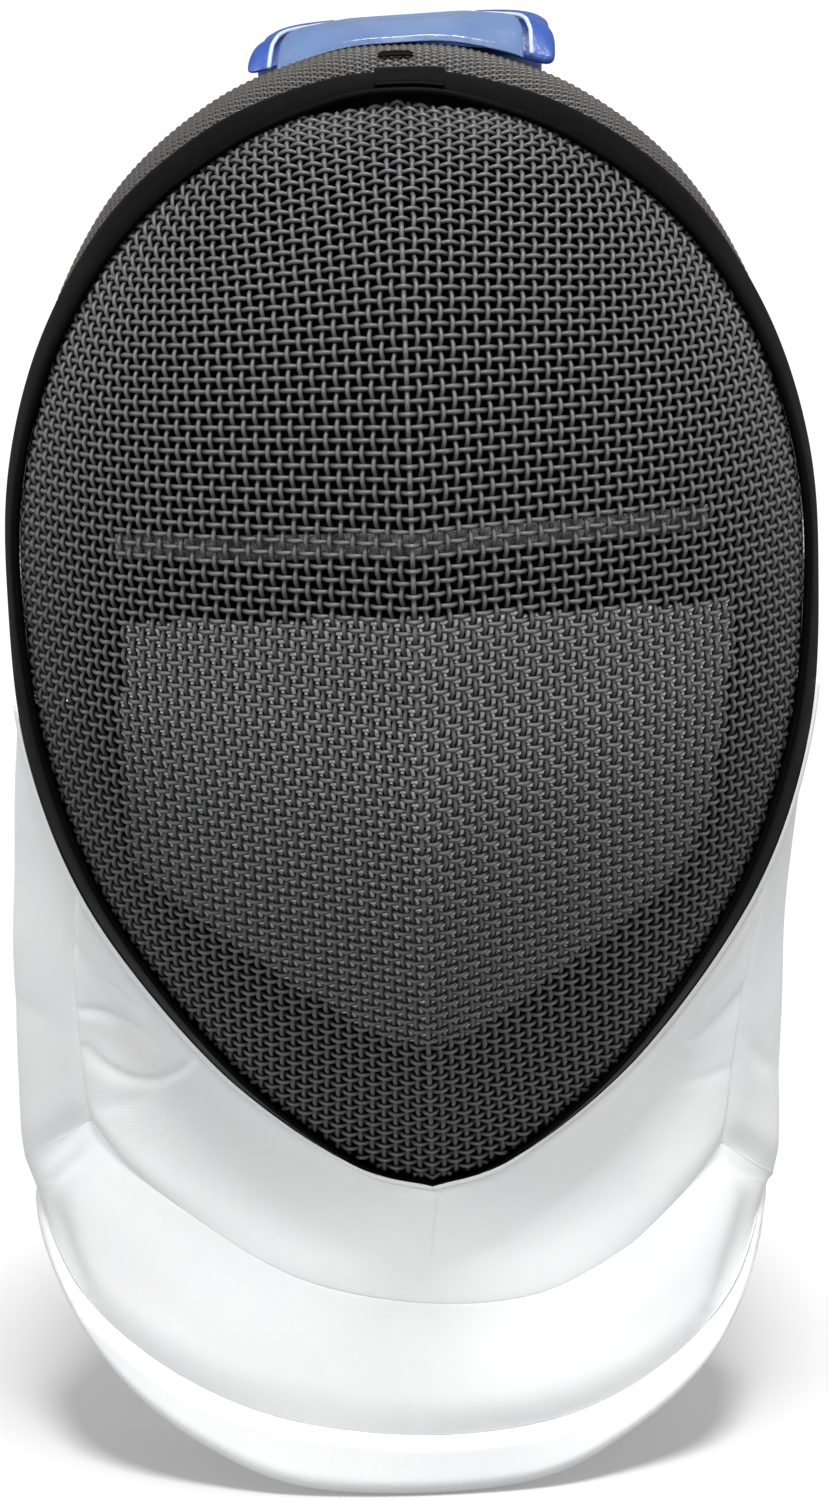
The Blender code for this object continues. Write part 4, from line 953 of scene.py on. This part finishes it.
# %% [markdown]
# ## The bib's bound edge
# The bib's upper edge is bound and laps over the lower half of the trim: at the sides it only shows as
# a thin bright line along the black band, and under the chin it reaches the band's front edge and
# hooks round it. It is a lip of its own, swept along the trim, because a line this thin would be lost
# in the panel's grid.

# %% Bound edge
LIP_STATION = (6.7, 7.2, 8.0, 9.0, 9.5, 10.0, 11.0)
LIP_FRONT = (13.6, 13.0, 12.0, 9.0, 4.0, 0.0, 0.0)
LIP_ENDS = np.array([(0.9, 0.95), (0.35, 0.85), (-0.1, 0.6), (-0.1, 0.5), (0.2, 0.42), (0.8, 0.42)])
LIP_HOOK = np.array([(0.4, 0.95), (-0.5, 0.6), (-0.85, 0.0),
                     (-0.8, -0.45), (-0.5, -0.6), (-0.2, 0.05)])
LIP_BACK = 15.6
HOOK_FROM, HOOK_SPAN = 9.6, 0.7


def lip_rings(sign):
    """The lip's rings down one side. A ring runs along its outer side, round its front end and back
    along its inner side; hook, from 0 to 1, turns the plain front end into the hooked one."""
    stations = np.linspace(LIP_STATION[0], LIP_STATION[-1], 141)
    front, along, off = rim_frames(stations, sign)
    start = np.interp(stations, LIP_STATION, LIP_FRONT)[:, None]
    hook = np.clip((stations - HOOK_FROM) / HOOK_SPAN, 0, 1)[:, None, None]
    end = LIP_ENDS * (1 - hook) + LIP_HOOK * hook
    share = np.array([1.0, 0.8, 0.6, 0.4, 0.2])[None, :]
    back = start + 1.0 + (LIP_BACK - start - 1.0) * share
    outer = np.stack([back, np.where(share > 0.9, 0.55, 1.0) + 0 * back], axis=-1)
    inner = np.stack([back[:, ::-1], np.full_like(back, 0.4)], axis=-1)
    ring = np.concatenate([outer, end + np.stack([start, 0 * start], axis=-1), inner], axis=1)
    return front[:, None] + unit(along)[:, None] * ring[..., :1] + off[:, None] * ring[..., 1:]


lip = tube("quilt_bound_edge", np.concatenate([lip_rings(-1)[:-1], lip_rings(1)[::-1]]))
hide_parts("bib_upper")
bib.append(lip)
print("bound edge triangles", len(lip.data.loop_triangles))

# %% [markdown]
# ## The tongue
# A spring in a padded blue sleeve grips the back of the head. It starts over the crown, where its
# front lip hugs the dome, and bends down behind. Its section is a flattened oval, carried along a
# curve in the middle plane. One function gives every point of its upper side, so the light panel and
# its piping can lie on it a little higher.

# %% The tongue's middle line and width
TONGUE_HALF = 42.4
# Depth, height and thickness of the middle line over the crown; then the circle that it follows down
# behind the head, by the angles of its points, how far each lies inside the circle and how thick it is.
TONGUE_DEPTH, TONGUE_HEIGHT, TONGUE_THICK = (134.0, 147.0), (121.9, 121.0), (3.4, 6.4)
BEND_DEPTH, BEND_HEIGHT, BEND_RADIUS = 150.0, 22.7, 98.5
BEND_ARC = np.radians([6.0, 27.0, 49.0, 71.0, 93.0, 115.0])
BEND_SINK = (0.5, 0.2, 0.0, 0.0, 0.0, 0.0)
BEND_THICK = (9.0, 11.5, 12.0, 12.0, 12.0, 12.0)
# The radius over which an end gets round, and the share of the full size that is left at the very end.
THIN_END, FREE_END, FRONT_END = (7.0, 0.35), (24.0, 0.45), (12.0, 0.95)
LEAN_TOP, LEAN_BEND, LEAN_LENGTH = 1.2, 2.4, 60.0


def round_end(distance, radius, least):
    """A quarter circle from least, at an end, to 1 at a distance of one radius from it."""
    near = np.clip(distance / radius, 0.0, 1.0)
    return least + (1 - least) * np.sqrt(1 - (1 - near) ** 2)


def tongue_path(count):
    """The tongue's middle line, its thickness, each point's share of the length, and that length."""
    y = np.concatenate([TONGUE_DEPTH, BEND_DEPTH + BEND_RADIUS * np.sin(BEND_ARC)])
    z = np.concatenate([TONGUE_HEIGHT, BEND_HEIGHT + BEND_RADIUS * np.cos(BEND_ARC) - BEND_SINK])
    thick = np.concatenate([TONGUE_THICK, BEND_THICK])
    y, z, thick = (straight_ends(v, np.linspace(0, len(y) - 1, 801)) for v in (y, z, thick))
    length = np.concatenate(([0.0], np.cumsum(np.hypot(np.diff(y), np.diff(z)))))
    share = np.linspace(0, 1, count) ** 1.35
    at = share * length[-1]
    line = np.stack([np.zeros(count), np.interp(at, length, y), np.interp(at, length, z)], axis=-1)
    thick = np.interp(at, length, thick) * round_end(length[-1] - at, *THIN_END)
    return line, thick, share, length[-1]


def tongue_half_width(share, length):
    """Widest at the front, nearly straight sides, and round corners at the free end."""
    at = share * length
    narrow = 1 - 0.09 * np.clip(at / 20.0, 0, 1) + 0.03 * np.clip(at / 30.0 - 1, 0, 1)
    return TONGUE_HALF * narrow * round_end(length - at, *FREE_END) * round_end(at, *FRONT_END)


def leaning(share, length):
    """How far the tongue stands to one side: LEAN_TOP, and LEAN_BEND more where it bends down."""
    return LEAN_TOP + LEAN_BEND * np.sin(np.pi * np.clip(share * length / LEAN_LENGTH, 0, 1))


print("tongue", 2 * TONGUE_HALF, "mm wide")

# %% [markdown]
# ## How the tongue lies on the crown
# The padded front of the tongue is pressed flat on the dome, so light never shows under it. The plain
# oval is drawn first and its front is then pulled down to the dome. A Shrinkwrap modifier could do
# that too, but a formula keeps the lip's thickness and its round edge.

# %% How it lies on the crown
LIP = 11.0
SEAT_GAP = 0.7
TONGUE_TILT = 0.035
# The depth at which the tongue leaves the crown, and the height below which it is behind the head.
LEAVES_CROWN, BEHIND_HEAD = 176.0, 60.0
# The crown's outline above its widest place, where there is one height for every x.
UPPER = slice(0, 220)
SECTION_X = ((rim_reach - RIM_GAP) * np.sin(rim_turn))[UPPER]
SECTION_Z = ((rim_reach - RIM_GAP) * np.cos(rim_turn))[UPPER]


def crown_top(x, y):
    """Height of the wire dome under a point near the middle plane: the rim's outline, made smaller by
    the circle seen from the side."""
    scale = circle(y, CROWN_RADIUS) / circle(CROWN_FRONT, CROWN_RADIUS)
    return CROWN_HEIGHT + scale * np.interp(np.abs(x) / np.maximum(scale, 1e-9), SECTION_X, SECTION_Z)


def lipped(points, upper):
    """Draws the tongue's front down to the dome. With t the share of the lip's depth already passed,
    the upper side sinks by (its height over the dome) * (1 - t)^2.4, and the under side follows the
    dome and leaves it further back. upper is 1 on the upper side and 0 on the under side. The whole
    tongue is also a little higher on one side."""
    x, y, z = points[..., 0], points[..., 1], points[..., 2]
    t = np.clip((y - TONGUE_DEPTH[0]) / LIP, 0, 1)
    seat = crown_top(x, y) + SEAT_GAP
    front = np.clip((LEAVES_CROWN - y) / 20.0, 0, 1) * (z > BEHIND_HEAD)
    sunk = z - (z - seat - 0.6 * upper) * (1 - t) ** 2.4 * upper
    under = z + (seat - z) * np.clip((LEAVES_CROWN + 2.0 - y) / 42.0, 0, 1) ** 1.2
    z = z + ((1 - upper) * under + upper * sunk - z) * np.clip(front * 3, 0, 1)
    z = z + TONGUE_TILT * x * np.clip((z - BEHIND_HEAD) / 40.0, 0, 1) * (0.25 + 0.75 * upper)
    return np.stack([x, y, z], axis=-1)


def tongue_top(x, share_wanted, lift):
    """Points on the tongue's upper side, raised by lift."""
    line, thick, share, length = tongue_path(401)
    along = unit(np.gradient(line, axis=0))
    upright = np.stack([np.zeros(len(line)), -along[:, 2], along[:, 1]], axis=-1)
    edge = np.clip(np.abs(x) / np.interp(share_wanted, share, tongue_half_width(share, length)), 0, 1)
    rise = 0.5 * np.interp(share_wanted, share, thick) * (1 - edge ** 5.0) ** 0.3
    middle, off = (np.stack([np.interp(share_wanted, share, v[:, k]) for k in range(3)], axis=-1)
                   for v in (line, upright))
    points = middle + off * rise[..., None]
    points[..., 0] += x + leaning(share_wanted, length)
    points = lipped(points, np.ones_like(x))
    slope = np.clip((TONGUE_DEPTH[0] + LIP - points[..., 1]) / LIP, 0, 1)[..., None]
    return points + unit(off + slope * np.array([0.0, -1.2, 0.0])) * np.asarray(lift)[..., None]


print("the dome's top is", round(float(crown_top(0.0, CROWN_MIDDLE)), 1), "mm above the foremost point")

# %% [markdown]
# ## The tongue's cover
# The sleeve is one closed tube. Each ring is a flattened oval with squarer corners underneath at the
# front: cos and sin of one turn, each raised to a power below one.

# %% Cover
line, thick, share, length = tongue_path(181)
share = share[:, None]
turn = np.linspace(0, 2 * np.pi, 288, endpoint=False)
boxy = 0.4 - 0.25 * (np.sin(turn) < 0) * np.clip(1.3 - share * length / 20.0, 0, 1)
side = tongue_half_width(share, length) * np.sign(np.cos(turn)) * np.abs(np.cos(turn)) ** boxy
curve = np.sign(np.sin(turn)) * np.abs(np.sin(turn)) ** 0.6
off = np.cross(np.array([1.0, 0.0, 0.0]), unit(np.gradient(line, axis=0)))
rings = (line[:, None] + (side + leaning(share, length))[..., None] * np.array([1.0, 0.0, 0.0])
         + (0.5 * thick[:, None] * curve)[..., None] * off[:, None])
cover = tube("tongue_cover", lipped(rings, 0.5 + 0.5 * curve + 0 * side))
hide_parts("tongue")
print("tongue length", round(length), "mm")

# %% [markdown]
# ## The tongue's panel and piping
# A light glossy panel is let into the cover, with white piping round it. The panel narrows to its far
# end with round corners, by a short table, and the piping follows the same table a little further
# out. The cover's colour is darkened along this line as painted shade of the groove beside the panel,
# so the cover keeps how near each point lies to the line as an attribute.

# %% Panel and piping
PANEL_HALF = 33.0
PANEL_SHARE = (0.0, 0.02, 0.035, 0.05, 0.062, 0.072, 0.079)
PANEL_TAPER = (1.0, 0.985, 0.945, 0.88, 0.80, 0.69, 0.56)
PANEL_LIFT = 0.45
PIPING_GAP = 2.2


def panel_width(share):
    """The panel's share of its full width, with round corners at its far end."""
    return np.interp(share, PANEL_SHARE, PANEL_TAPER)


# near is how close a point of the cover lies to the panel's edge; the material darkens the cover there
# as painted shade.
near = np.clip(1 - np.abs(np.abs(side) - (PANEL_HALF + 1.0) * panel_width(share)) / 1.3, 0, 1)
near = np.where(share < PANEL_SHARE[-1] + 0.006, near, 0) * (curve > 0)
seam = cover.data.attributes.new("seam", "FLOAT", "POINT")
seam.data.foreach_set("value", near.ravel())

across, share = np.meshgrid(np.linspace(-1, 1, 65), np.linspace(PANEL_SHARE[0], PANEL_SHARE[-1], 81))
x = PANEL_HALF * panel_width(share) * across
soft = 0.8 * np.sqrt(1 - across ** 10)
window_outer = tongue_top(x, share, PANEL_LIFT + soft)
window_inner = tongue_top(x, share, PANEL_LIFT - 0.2 + 0 * x)
turned = window_outer[:1] + np.linspace(1, 0.2, 5)[:, None, None] * np.array([0.0, -0.9, -1.7])
window_outer = np.concatenate([turned, window_outer])
window_inner = np.concatenate([turned + np.array([0.0, 0.5, 0.0]), window_inner])
blue_panel = wall("tongue_window", window_outer, window_inner)
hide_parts("tongue_panel")

share = share[:, 0]
x = (PANEL_HALF + PIPING_GAP) * panel_width(share)
across = np.linspace(x[-1], -x[-1], 41)[1:-1]
bend = PANEL_SHARE[-1] + 0.009 * np.sqrt(1 - (np.abs(across) / x[-1]) ** 6)
path_x = np.concatenate([x, across, -x[::-1]])
path_share = np.concatenate([share, bend, share[::-1]])
path = tongue_top(path_x, path_share, PANEL_LIFT + 0 * path_x)
above = tongue_top(path_x, path_share, 10.0 + 0 * path_x)
cord_radius = np.interp(path_share, (0.06, 0.08), (0.6, 0.3))
piping = tube("tongue_cord", rings_along(path, above - path, cord_radius, 12))
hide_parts("tongue_piping")
print("piping", round(float(lengths_along(path, 0)[-1])), "mm long")

# %% [markdown]
# ## The clip
# A small black clip sits on the crown, just behind the top of the trim. It is a thin plate that
# follows the dome, and it gets thinner towards its edges, so that they look pressed and not cut.

# %% Crown clip
CLIP_HALF, CLIP_REACH, CLIP_DEPTH = 4.6, 1.6, 104.6
across, along = np.meshgrid(np.linspace(-1, 1, 33), np.linspace(-1, 1, 11))
x, y = CLIP_HALF * across, CLIP_DEPTH + CLIP_REACH * along
top = (rim_reach[0] - RIM_GAP) / circle(CROWN_FRONT, CROWN_RADIUS) * circle(y, CROWN_RADIUS)
base = np.stack([x, y, CROWN_HEIGHT + top - 0.02 * np.abs(x) + 0.35], axis=-1)
rounding = (1 - across ** 8) * (1 - along ** 6)
clip = wall("wire_clip", base + np.array([0, 0, 1.0]) * (0.4 + 0.6 * rounding)[..., None], base)
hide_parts("crown_clip")
print("clip", 2 * CLIP_HALF, "mm wide")

# %% [markdown]
# ## Neck flaps
# Behind the neck two soft black flaps part in the middle, so that a head can pass, and a tape binds
# the slit. They are plain hanging cloth. Each is drawn between the lining's edge and a quarter of an
# ellipse round the neck, which gives them their length, and swells back a little as it hangs.

# %% Neck flaps and the slit's tape
COLLAR_HEIGHT = -195.0
COLLAR_SIDE, COLLAR_DEPTH, COLLAR_REACH = 72.0, 128.0, 88.0
SLIT = 1.0
FLAP_INSET, FLAP_SWELL, FLAP_THICK = 10.5, 27.0, 2.4
FLAP_RISE, FLAP_DRAWN = 5.0, 5.0
TAPE_HALF, TAPE_OVER = 8.0, 3.0


def neck_flap(name, sign):
    """One flap: lines from the lining's edge to the lower ellipse, swollen back and drawn in."""
    edge = dome(np.linspace(0, 1, 33), np.linspace(-end_turn, end_turn, 97), FLAP_INSET, NECK_BACK)
    top = np.concatenate([edge[-1, 48:], edge[-2:5:-1, -1] + np.array([0.0, 0.0, FLAP_RISE])])
    top[:, 0] = np.maximum(top[:, 0], SLIT)
    length = lengths_along(top, 0)
    turn = 0.5 * np.pi * length / length[-1]
    low = np.stack([SLIT + COLLAR_SIDE * np.sin(turn), COLLAR_DEPTH + COLLAR_REACH * np.cos(turn),
                    np.full(len(turn), COLLAR_HEIGHT)], axis=-1)
    down = np.linspace(0, 1, 41)[:, None]
    surface = top[None] + (low - top)[None] * down[..., None]
    surface[..., 1] += FLAP_SWELL * np.sin(np.pi * down) * np.cos(turn)
    surface[..., 0] -= FLAP_DRAWN * np.sin(np.pi * down) * np.sin(turn) ** 4
    surface[..., 0] *= sign
    piece = wall(name, surface, surface + normals_of(surface) * sign * FLAP_THICK)
    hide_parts(name.replace("neck_cloth", "neck_flap"))
    return piece


flaps = [neck_flap("neck_cloth_left", 1), neck_flap("neck_cloth_right", -1)]

x, down = np.meshgrid(np.linspace(-TAPE_HALF, TAPE_HALF, 13), np.linspace(0, 1, 41))
arch = dome(np.array([0.0, 1.0]), np.array([0.0, 0.01]), FLAP_INSET, NECK_BACK)[1, 0]
y = arch[1] + (COLLAR_DEPTH + COLLAR_REACH - arch[1]) * down + FLAP_SWELL * np.sin(np.pi * down)
z = arch[2] - TAPE_OVER + (COLLAR_HEIGHT - arch[2] + TAPE_OVER) * down
strip = np.stack([x, y + 0.7 - 0.004 * x ** 2, z], axis=-1)
slit_tape = wall("neck_slit_tape", strip + np.array([0.0, 1.2, 0.0]), strip)
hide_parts("neck_flap_left")

# %% [markdown]
# ## Chin pad
# Inside the lower half of the bowl a black pad keeps the wire off the chin. It follows the bowl's skin
# a few millimetres behind it, leaves the middle of the face open, and turns back along the trim.

# %% Chin pad
PAD_TOP = 6.7
PAD_GAP = 2.5
PAD_FRONT, PAD_BACK, PAD_SWELL = 9.0, 9.6, (1.5, 1.9)
# The opening in the pad is the rim drawn at this scale, and at less of it towards the chin, about a
# middle at this height.
OPENING_SCALE, OPENING_LESS, OPENING_MIDDLE = 0.91, 0.21, -60.0
stations = np.linspace(PAD_TOP, LAST, 71)[:-1]
x, z, front, step, out_x, out_z = rim_at(stations)


def both_sides(x, y, z):
    """A line of points down the right side and up the left side of the rim."""
    left = np.stack([x, y, z], axis=-1)
    return np.concatenate([left * np.array([-1.0, 1.0, 1.0]), left[::-1]])[:, None]


edge = both_sides(x - out_x * (step + PAD_GAP), 0 * x, z - out_z * (step + PAD_GAP))
scale = OPENING_SCALE - OPENING_LESS * ((stations - stations[0]) / (LAST - stations[0])) ** 2
inwards = 1 + (np.concatenate([scale, scale[::-1]])[:, None] - 1) * np.linspace(0, 1, 17)
x_in = edge[..., 0] * inwards
z_in = OPENING_MIDDLE + (edge[..., 2] - OPENING_MIDDLE) * inwards
skin = np.stack([x_in, bowl_depth(x_in, z_in), z_in], axis=-1)
off = 1.0 / np.clip(np.abs(normals_of(skin)[..., 1:2]), 0.6, 1.0) * np.array([0.0, 1.0, 0.0])
swell = np.sqrt(1 - np.linspace(-1, 1, 17) ** 4)[:, None]
front_side = skin + off * (PAD_FRONT - PAD_SWELL[0] * swell)
back_side = skin + off * (PAD_BACK + PAD_SWELL[1] * swell)
inset = thickness_at(stations) + 0.5
hem = both_sides(x - out_x * inset, front + RIM_WIDTH - 2.0, z - out_z * inset)
blend = np.linspace(0, 1, 7)[None, :-1, None]
front_side = np.concatenate([hem + (front_side[:, :1] - hem) * blend, front_side], axis=1)
hem = hem + np.array([0.0, 1.2, 0.0])
back_side = np.concatenate([hem + (back_side[:, :1] - hem) * blend, back_side], axis=1)
chin_pad = wall("chin_pad", front_side, back_side)
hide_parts("chin_lining")
print("chin pad triangles", len(chin_pad.data.loop_triangles))

# %% [markdown]
# ## Finishes
# Two effects recur in the materials: slow unevenness and a cloth weave. Each is built once as a node
# group and gets other values in each material. A group puts out only a value, and the shader stays in
# the material, because that keeps the recipe readable and lets it be exported.

# %% Node groups
def make_group(name, inputs, output):
    """An empty node group with number sockets; inputs is a dict of names and default values."""
    group = bpy.data.node_groups.new(name, "ShaderNodeTree")
    for label, value in inputs.items():
        socket = group.interface.new_socket(label, in_out="INPUT", socket_type="NodeSocketFloat")
        socket.default_value = value
    group.interface.new_socket(output, in_out="OUTPUT", socket_type="NodeSocketFloat")
    return group, add(group, "NodeGroupInput").outputs, add(group, "NodeGroupOutput")


mottle, given, result = make_group("mottle", {"Size": 60.0, "Detail": 3.0}, "Value")
noise = add(mottle, "ShaderNodeTexNoise", {
    "Vector": add(mottle, "ShaderNodeTexCoord").outputs["Object"],
    "Scale": given["Size"], "Detail": given["Detail"]})
connect(result, {"Value": noise.outputs["Fac"]})

cloth, given, result = make_group("cloth_weave", {"Thread": 0.8}, "Height")
uv = add(cloth, "ShaderNodeUVMap", uv_map="UVMap").outputs["UV"]
parts = add(cloth, "ShaderNodeSeparateXYZ", {"Vector": uv}).outputs
turns = math(cloth, "DIVIDE", 2 * np.pi, given["Thread"])
waves = [math(cloth, "SINE", math(cloth, "MULTIPLY", parts[axis], turns)) for axis in "XY"]
height = math(cloth, "MULTIPLY", math(cloth, "MULTIPLY", *waves), 0.5)
connect(result, {"Height": math(cloth, "ADD", height, 0.5)})
print("groups:", [g.name for g in bpy.data.node_groups])

# %% [markdown]
# ## Recipes in code
# A material is a few nodes in a row: mottle, a colour ramp, and bumps. The helpers below each add one
# such step and give back its socket, so that a finish can be read as one line.

# %% Material helpers
def new_material(name, roughness, metallic=0.0):
    """A material, its tree and its shader."""
    material = bpy.data.materials.new(name)
    material.use_nodes = True
    shader = material.node_tree.nodes["Principled BSDF"]
    connect(shader, {"Roughness": roughness, "Metallic": metallic})
    return material, material.node_tree, shader


def use(tree, group, **values):
    """A group placed in a material with its own values; it gives back its one output socket."""
    return add(tree, "ShaderNodeGroup", values, node_tree=group).outputs[0]


def ramp(tree, factor, stops):
    """A colour picked by a factor from stops, which are (position, red, green, blue)."""
    node = add(tree, "ShaderNodeValToRGB", {"Fac": factor})
    elements = node.color_ramp.elements
    while len(elements) < len(stops):
        elements.new(0.5)
    for element, (position, *color) in zip(elements, stops):
        element.position = position
        element.color = (*color, 1.0)
    return node.outputs["Color"]


def spread(tree, size, detail, low, high):
    """Mottle of a size mapped from 0..1 to low..high."""
    value = use(tree, mottle, Size=size, Detail=detail)
    return add(tree, "ShaderNodeMapRange", {"Value": value, "To Min": low,
                                            "To Max": high}).outputs["Result"]


def bump(tree, shader, height, distance):
    """Adds a bump in metres; a second call goes on top of the first."""
    node = add(tree, "ShaderNodeBump", {"Distance": distance, "Strength": 1.0, "Height": height})
    if shader.inputs["Normal"].is_linked:
        connect(node, {"Normal": shader.inputs["Normal"].links[0].from_socket})
    connect(shader, {"Normal": node.outputs["Normal"]})


def finish_with(material, slot, pieces):
    """Puts a material on pieces. Its argument slot is not used."""
    for piece in pieces:
        piece.data.materials.clear()
        piece.data.materials.append(material)


print("helpers:", [f.__name__ for f in (new_material, use, ramp, spread, bump, finish_with)])

# %% [markdown]
# ## Wire
# The outer wire is blackened steel and the inner layer bare steel. Each wire is coloured darker at
# the back of the sheet and lighter on its crests: painted shade and painted highlight, and on the
# blackened wire also grey rubbed on its crests. A height above the sheet was stored for every point
# of a wire, so the material knows where a crest is, which no picture laid over the mesh could tell it.

# %% Wire
def wire(name, slot, pieces, roughness, metallic, stops):
    """Wire coloured darker between the crossings and lighter on its crests, as painted shade and
    painted highlight, and on blackened wire also paint rubbed bright on its crests. stops are colours
    at heights above the sheet, from 0 at its back to 1 at its front."""
    material, tree, shader = new_material(name, roughness, metallic)
    crest = add(tree, "ShaderNodeAttribute", attribute_name="crest").outputs["Fac"]
    # The crest height picks the colour: its light end is painted highlight and its dark end painted
    # shade.
    patchy = math(tree, "MULTIPLY", use(tree, mottle, Size=900.0, Detail=2.0), 0.16)
    factor = math(tree, "ADD", math(tree, "MULTIPLY", crest, 0.5), patchy)
    connect(shader, {"Base Color": ramp(tree, math(tree, "ADD", factor, 0.42), stops),
                     "Roughness": spread(tree, 140.0, 2.0, roughness - 0.1, roughness + 0.12)})
    finish_with(material, slot, pieces)


# Stops run from painted shade at a wire's back to painted highlight on its crest; the blackened wire's
# crests are also rubbed grey.
wire("black_wire", "black_wire", front_wires, 0.5, 0.3, (
    (0.4, 0.032, 0.032, 0.033), (0.68, 0.085, 0.085, 0.088), (0.98, 0.14, 0.14, 0.143)))
# The second layer's crests are coloured nearly white and its backs dark: painted highlight on each
# knuckle and painted shade behind it.
wire("bare_wire", "steel_wire", double_wires, 0.4, 0.2, (
    (0.42, 0.12, 0.12, 0.12), (0.6, 0.58, 0.58, 0.58), (0.8, 0.85, 0.85, 0.845)))
wire("crown_wire", "steel_wire", crown_wires, 0.45, 0.5, (
    (0.2, 0.03, 0.029, 0.027), (0.6, 0.09, 0.087, 0.082), (0.95, 0.13, 0.126, 0.118)))
print("wire materials on", len(front_wires + double_wires + crown_wires), "pieces")

# %% [markdown]
# ## Trim and cloth
# All other finishes are one recipe with other numbers: two colours or three, mixed by mottle, and
# bumps for grain and weave. White cotton shows its weave only close up, but the weave breaks the light
# and keeps the padding from looking like plastic. The black lining is nearly the same cloth, so dark
# that only its edges show.

# %% Trim, tape, cotton and lining
def soft_finish(name, slot, pieces, roughness, patch, stops, gloss=None, bumps=(), other=(), seam=0.0):
    """A material whose colour is picked from stops by mottle with the values of patch, less seam times
    the attribute of that name; that darkening is painted shade. gloss is (size, least, most
    roughness), bumps are rows of (group, its values, height in metres), each on top of the last, and
    other sets more of the shader."""
    material, tree, shader = new_material(name, roughness)
    factor = use(tree, mottle, **patch)
    # seam darkens the colour where the attribute seam is high: painted shade.
    if seam:
        painted_groove_shade = add(tree, "ShaderNodeAttribute", attribute_name="seam").outputs["Fac"]
        factor = math(tree, "SUBTRACT", factor, math(tree, "MULTIPLY", painted_groove_shade, seam))
    connect(shader, {"Base Color": ramp(tree, factor, stops), **dict(other)})
    if gloss:
        size, least, most = gloss
        connect(shader, {"Roughness": spread(tree, size, 3.0, least, most)})
    for group, values, distance in bumps:
        bump(tree, shader, use(tree, group, **values), distance)
    finish_with(material, slot, pieces)


soft_finish("black_trim", "black_trim", (trim, joint, binding, clip), 0.4, {"Size": 220.0},
            ((0.3, 0.0009, 0.0009, 0.001), (0.8, 0.0022, 0.0022, 0.0025)), gloss=(90.0, 0.4, 0.6),
            bumps=[(mottle, {"Size": 1500.0, "Detail": 2.0}, 0.00004)],
            other={"Specular IOR Level": 0.05})
soft_finish("grey_tape", "grey_tape", [brow_band], 0.85, {"Size": 260.0, "Detail": 4.0},
            ((0.36, 0.07, 0.07, 0.07), (0.5, 0.2, 0.2, 0.2), (0.66, 0.42, 0.42, 0.41)),
            bumps=[(cloth, {"Thread": 0.7}, 0.00015)])
soft_finish("white_cotton", "white_cloth", bib, 0.85, {"Size": 25.0, "Detail": 4.0},
            ((0.3, 0.86, 0.865, 0.875), (0.7, 0.90, 0.902, 0.905)),
            bumps=[(mottle, {"Size": 45.0, "Detail": 1.0}, 0.0004), (cloth, {"Thread": 0.75}, 0.00004)],
            other={"Sheen Weight": 0.15})
soft_finish("black_felt", "black_lining", [lining, chin_pad, slit_tape, *flaps], 0.95,
            {"Size": 300.0, "Detail": 4.0}, ((0.3, 0.0025, 0.0025, 0.003), (0.75, 0.006, 0.006, 0.007)),
            bumps=[(cloth, {"Thread": 1.1}, 0.00015)], other={"Specular IOR Level": 0.15})
print("dark and white cloth done")

# %% [markdown]
# ## The blue tongue
# The sleeve is coated cloth with soft dents, and its panel is glossier and lighter. Where the panel is
# let in, the cover's colour is darkened into a line of painted shade, from the seam attribute stored on
# the cover.

# %% Cover, panel and piping
# seam=0.6 darkens the cover along the panel's edge: painted shade of the groove there.
soft_finish("blue_cover", "blue_cover", [cover], 0.38, {"Size": 60.0},
            ((0.0, 0.006, 0.02, 0.11), (0.3, 0.020, 0.062, 0.285), (0.75, 0.037, 0.097, 0.365)),
            gloss=(30.0, 0.3, 0.46), seam=0.6,
            bumps=[(mottle, {"Size": 130.0}, 0.0008),
                   (mottle, {"Size": 2500.0, "Detail": 1.0}, 0.00005)])
soft_finish("blue_panel", "blue_panel", [blue_panel], 0.22, {"Size": 35.0},
            ((0.3, 0.082, 0.137, 0.285), (0.75, 0.142, 0.218, 0.385)), gloss=(80.0, 0.15, 0.3),
            bumps=[(mottle, {"Size": 90.0}, 0.0006)])
soft_finish("white_piping", "white_piping", [piping], 0.4, {"Size": 400.0},
            ((0.3, 0.40, 0.50, 0.74), (0.75, 0.55, 0.63, 0.82)))
print("materials:", len(bpy.data.materials))
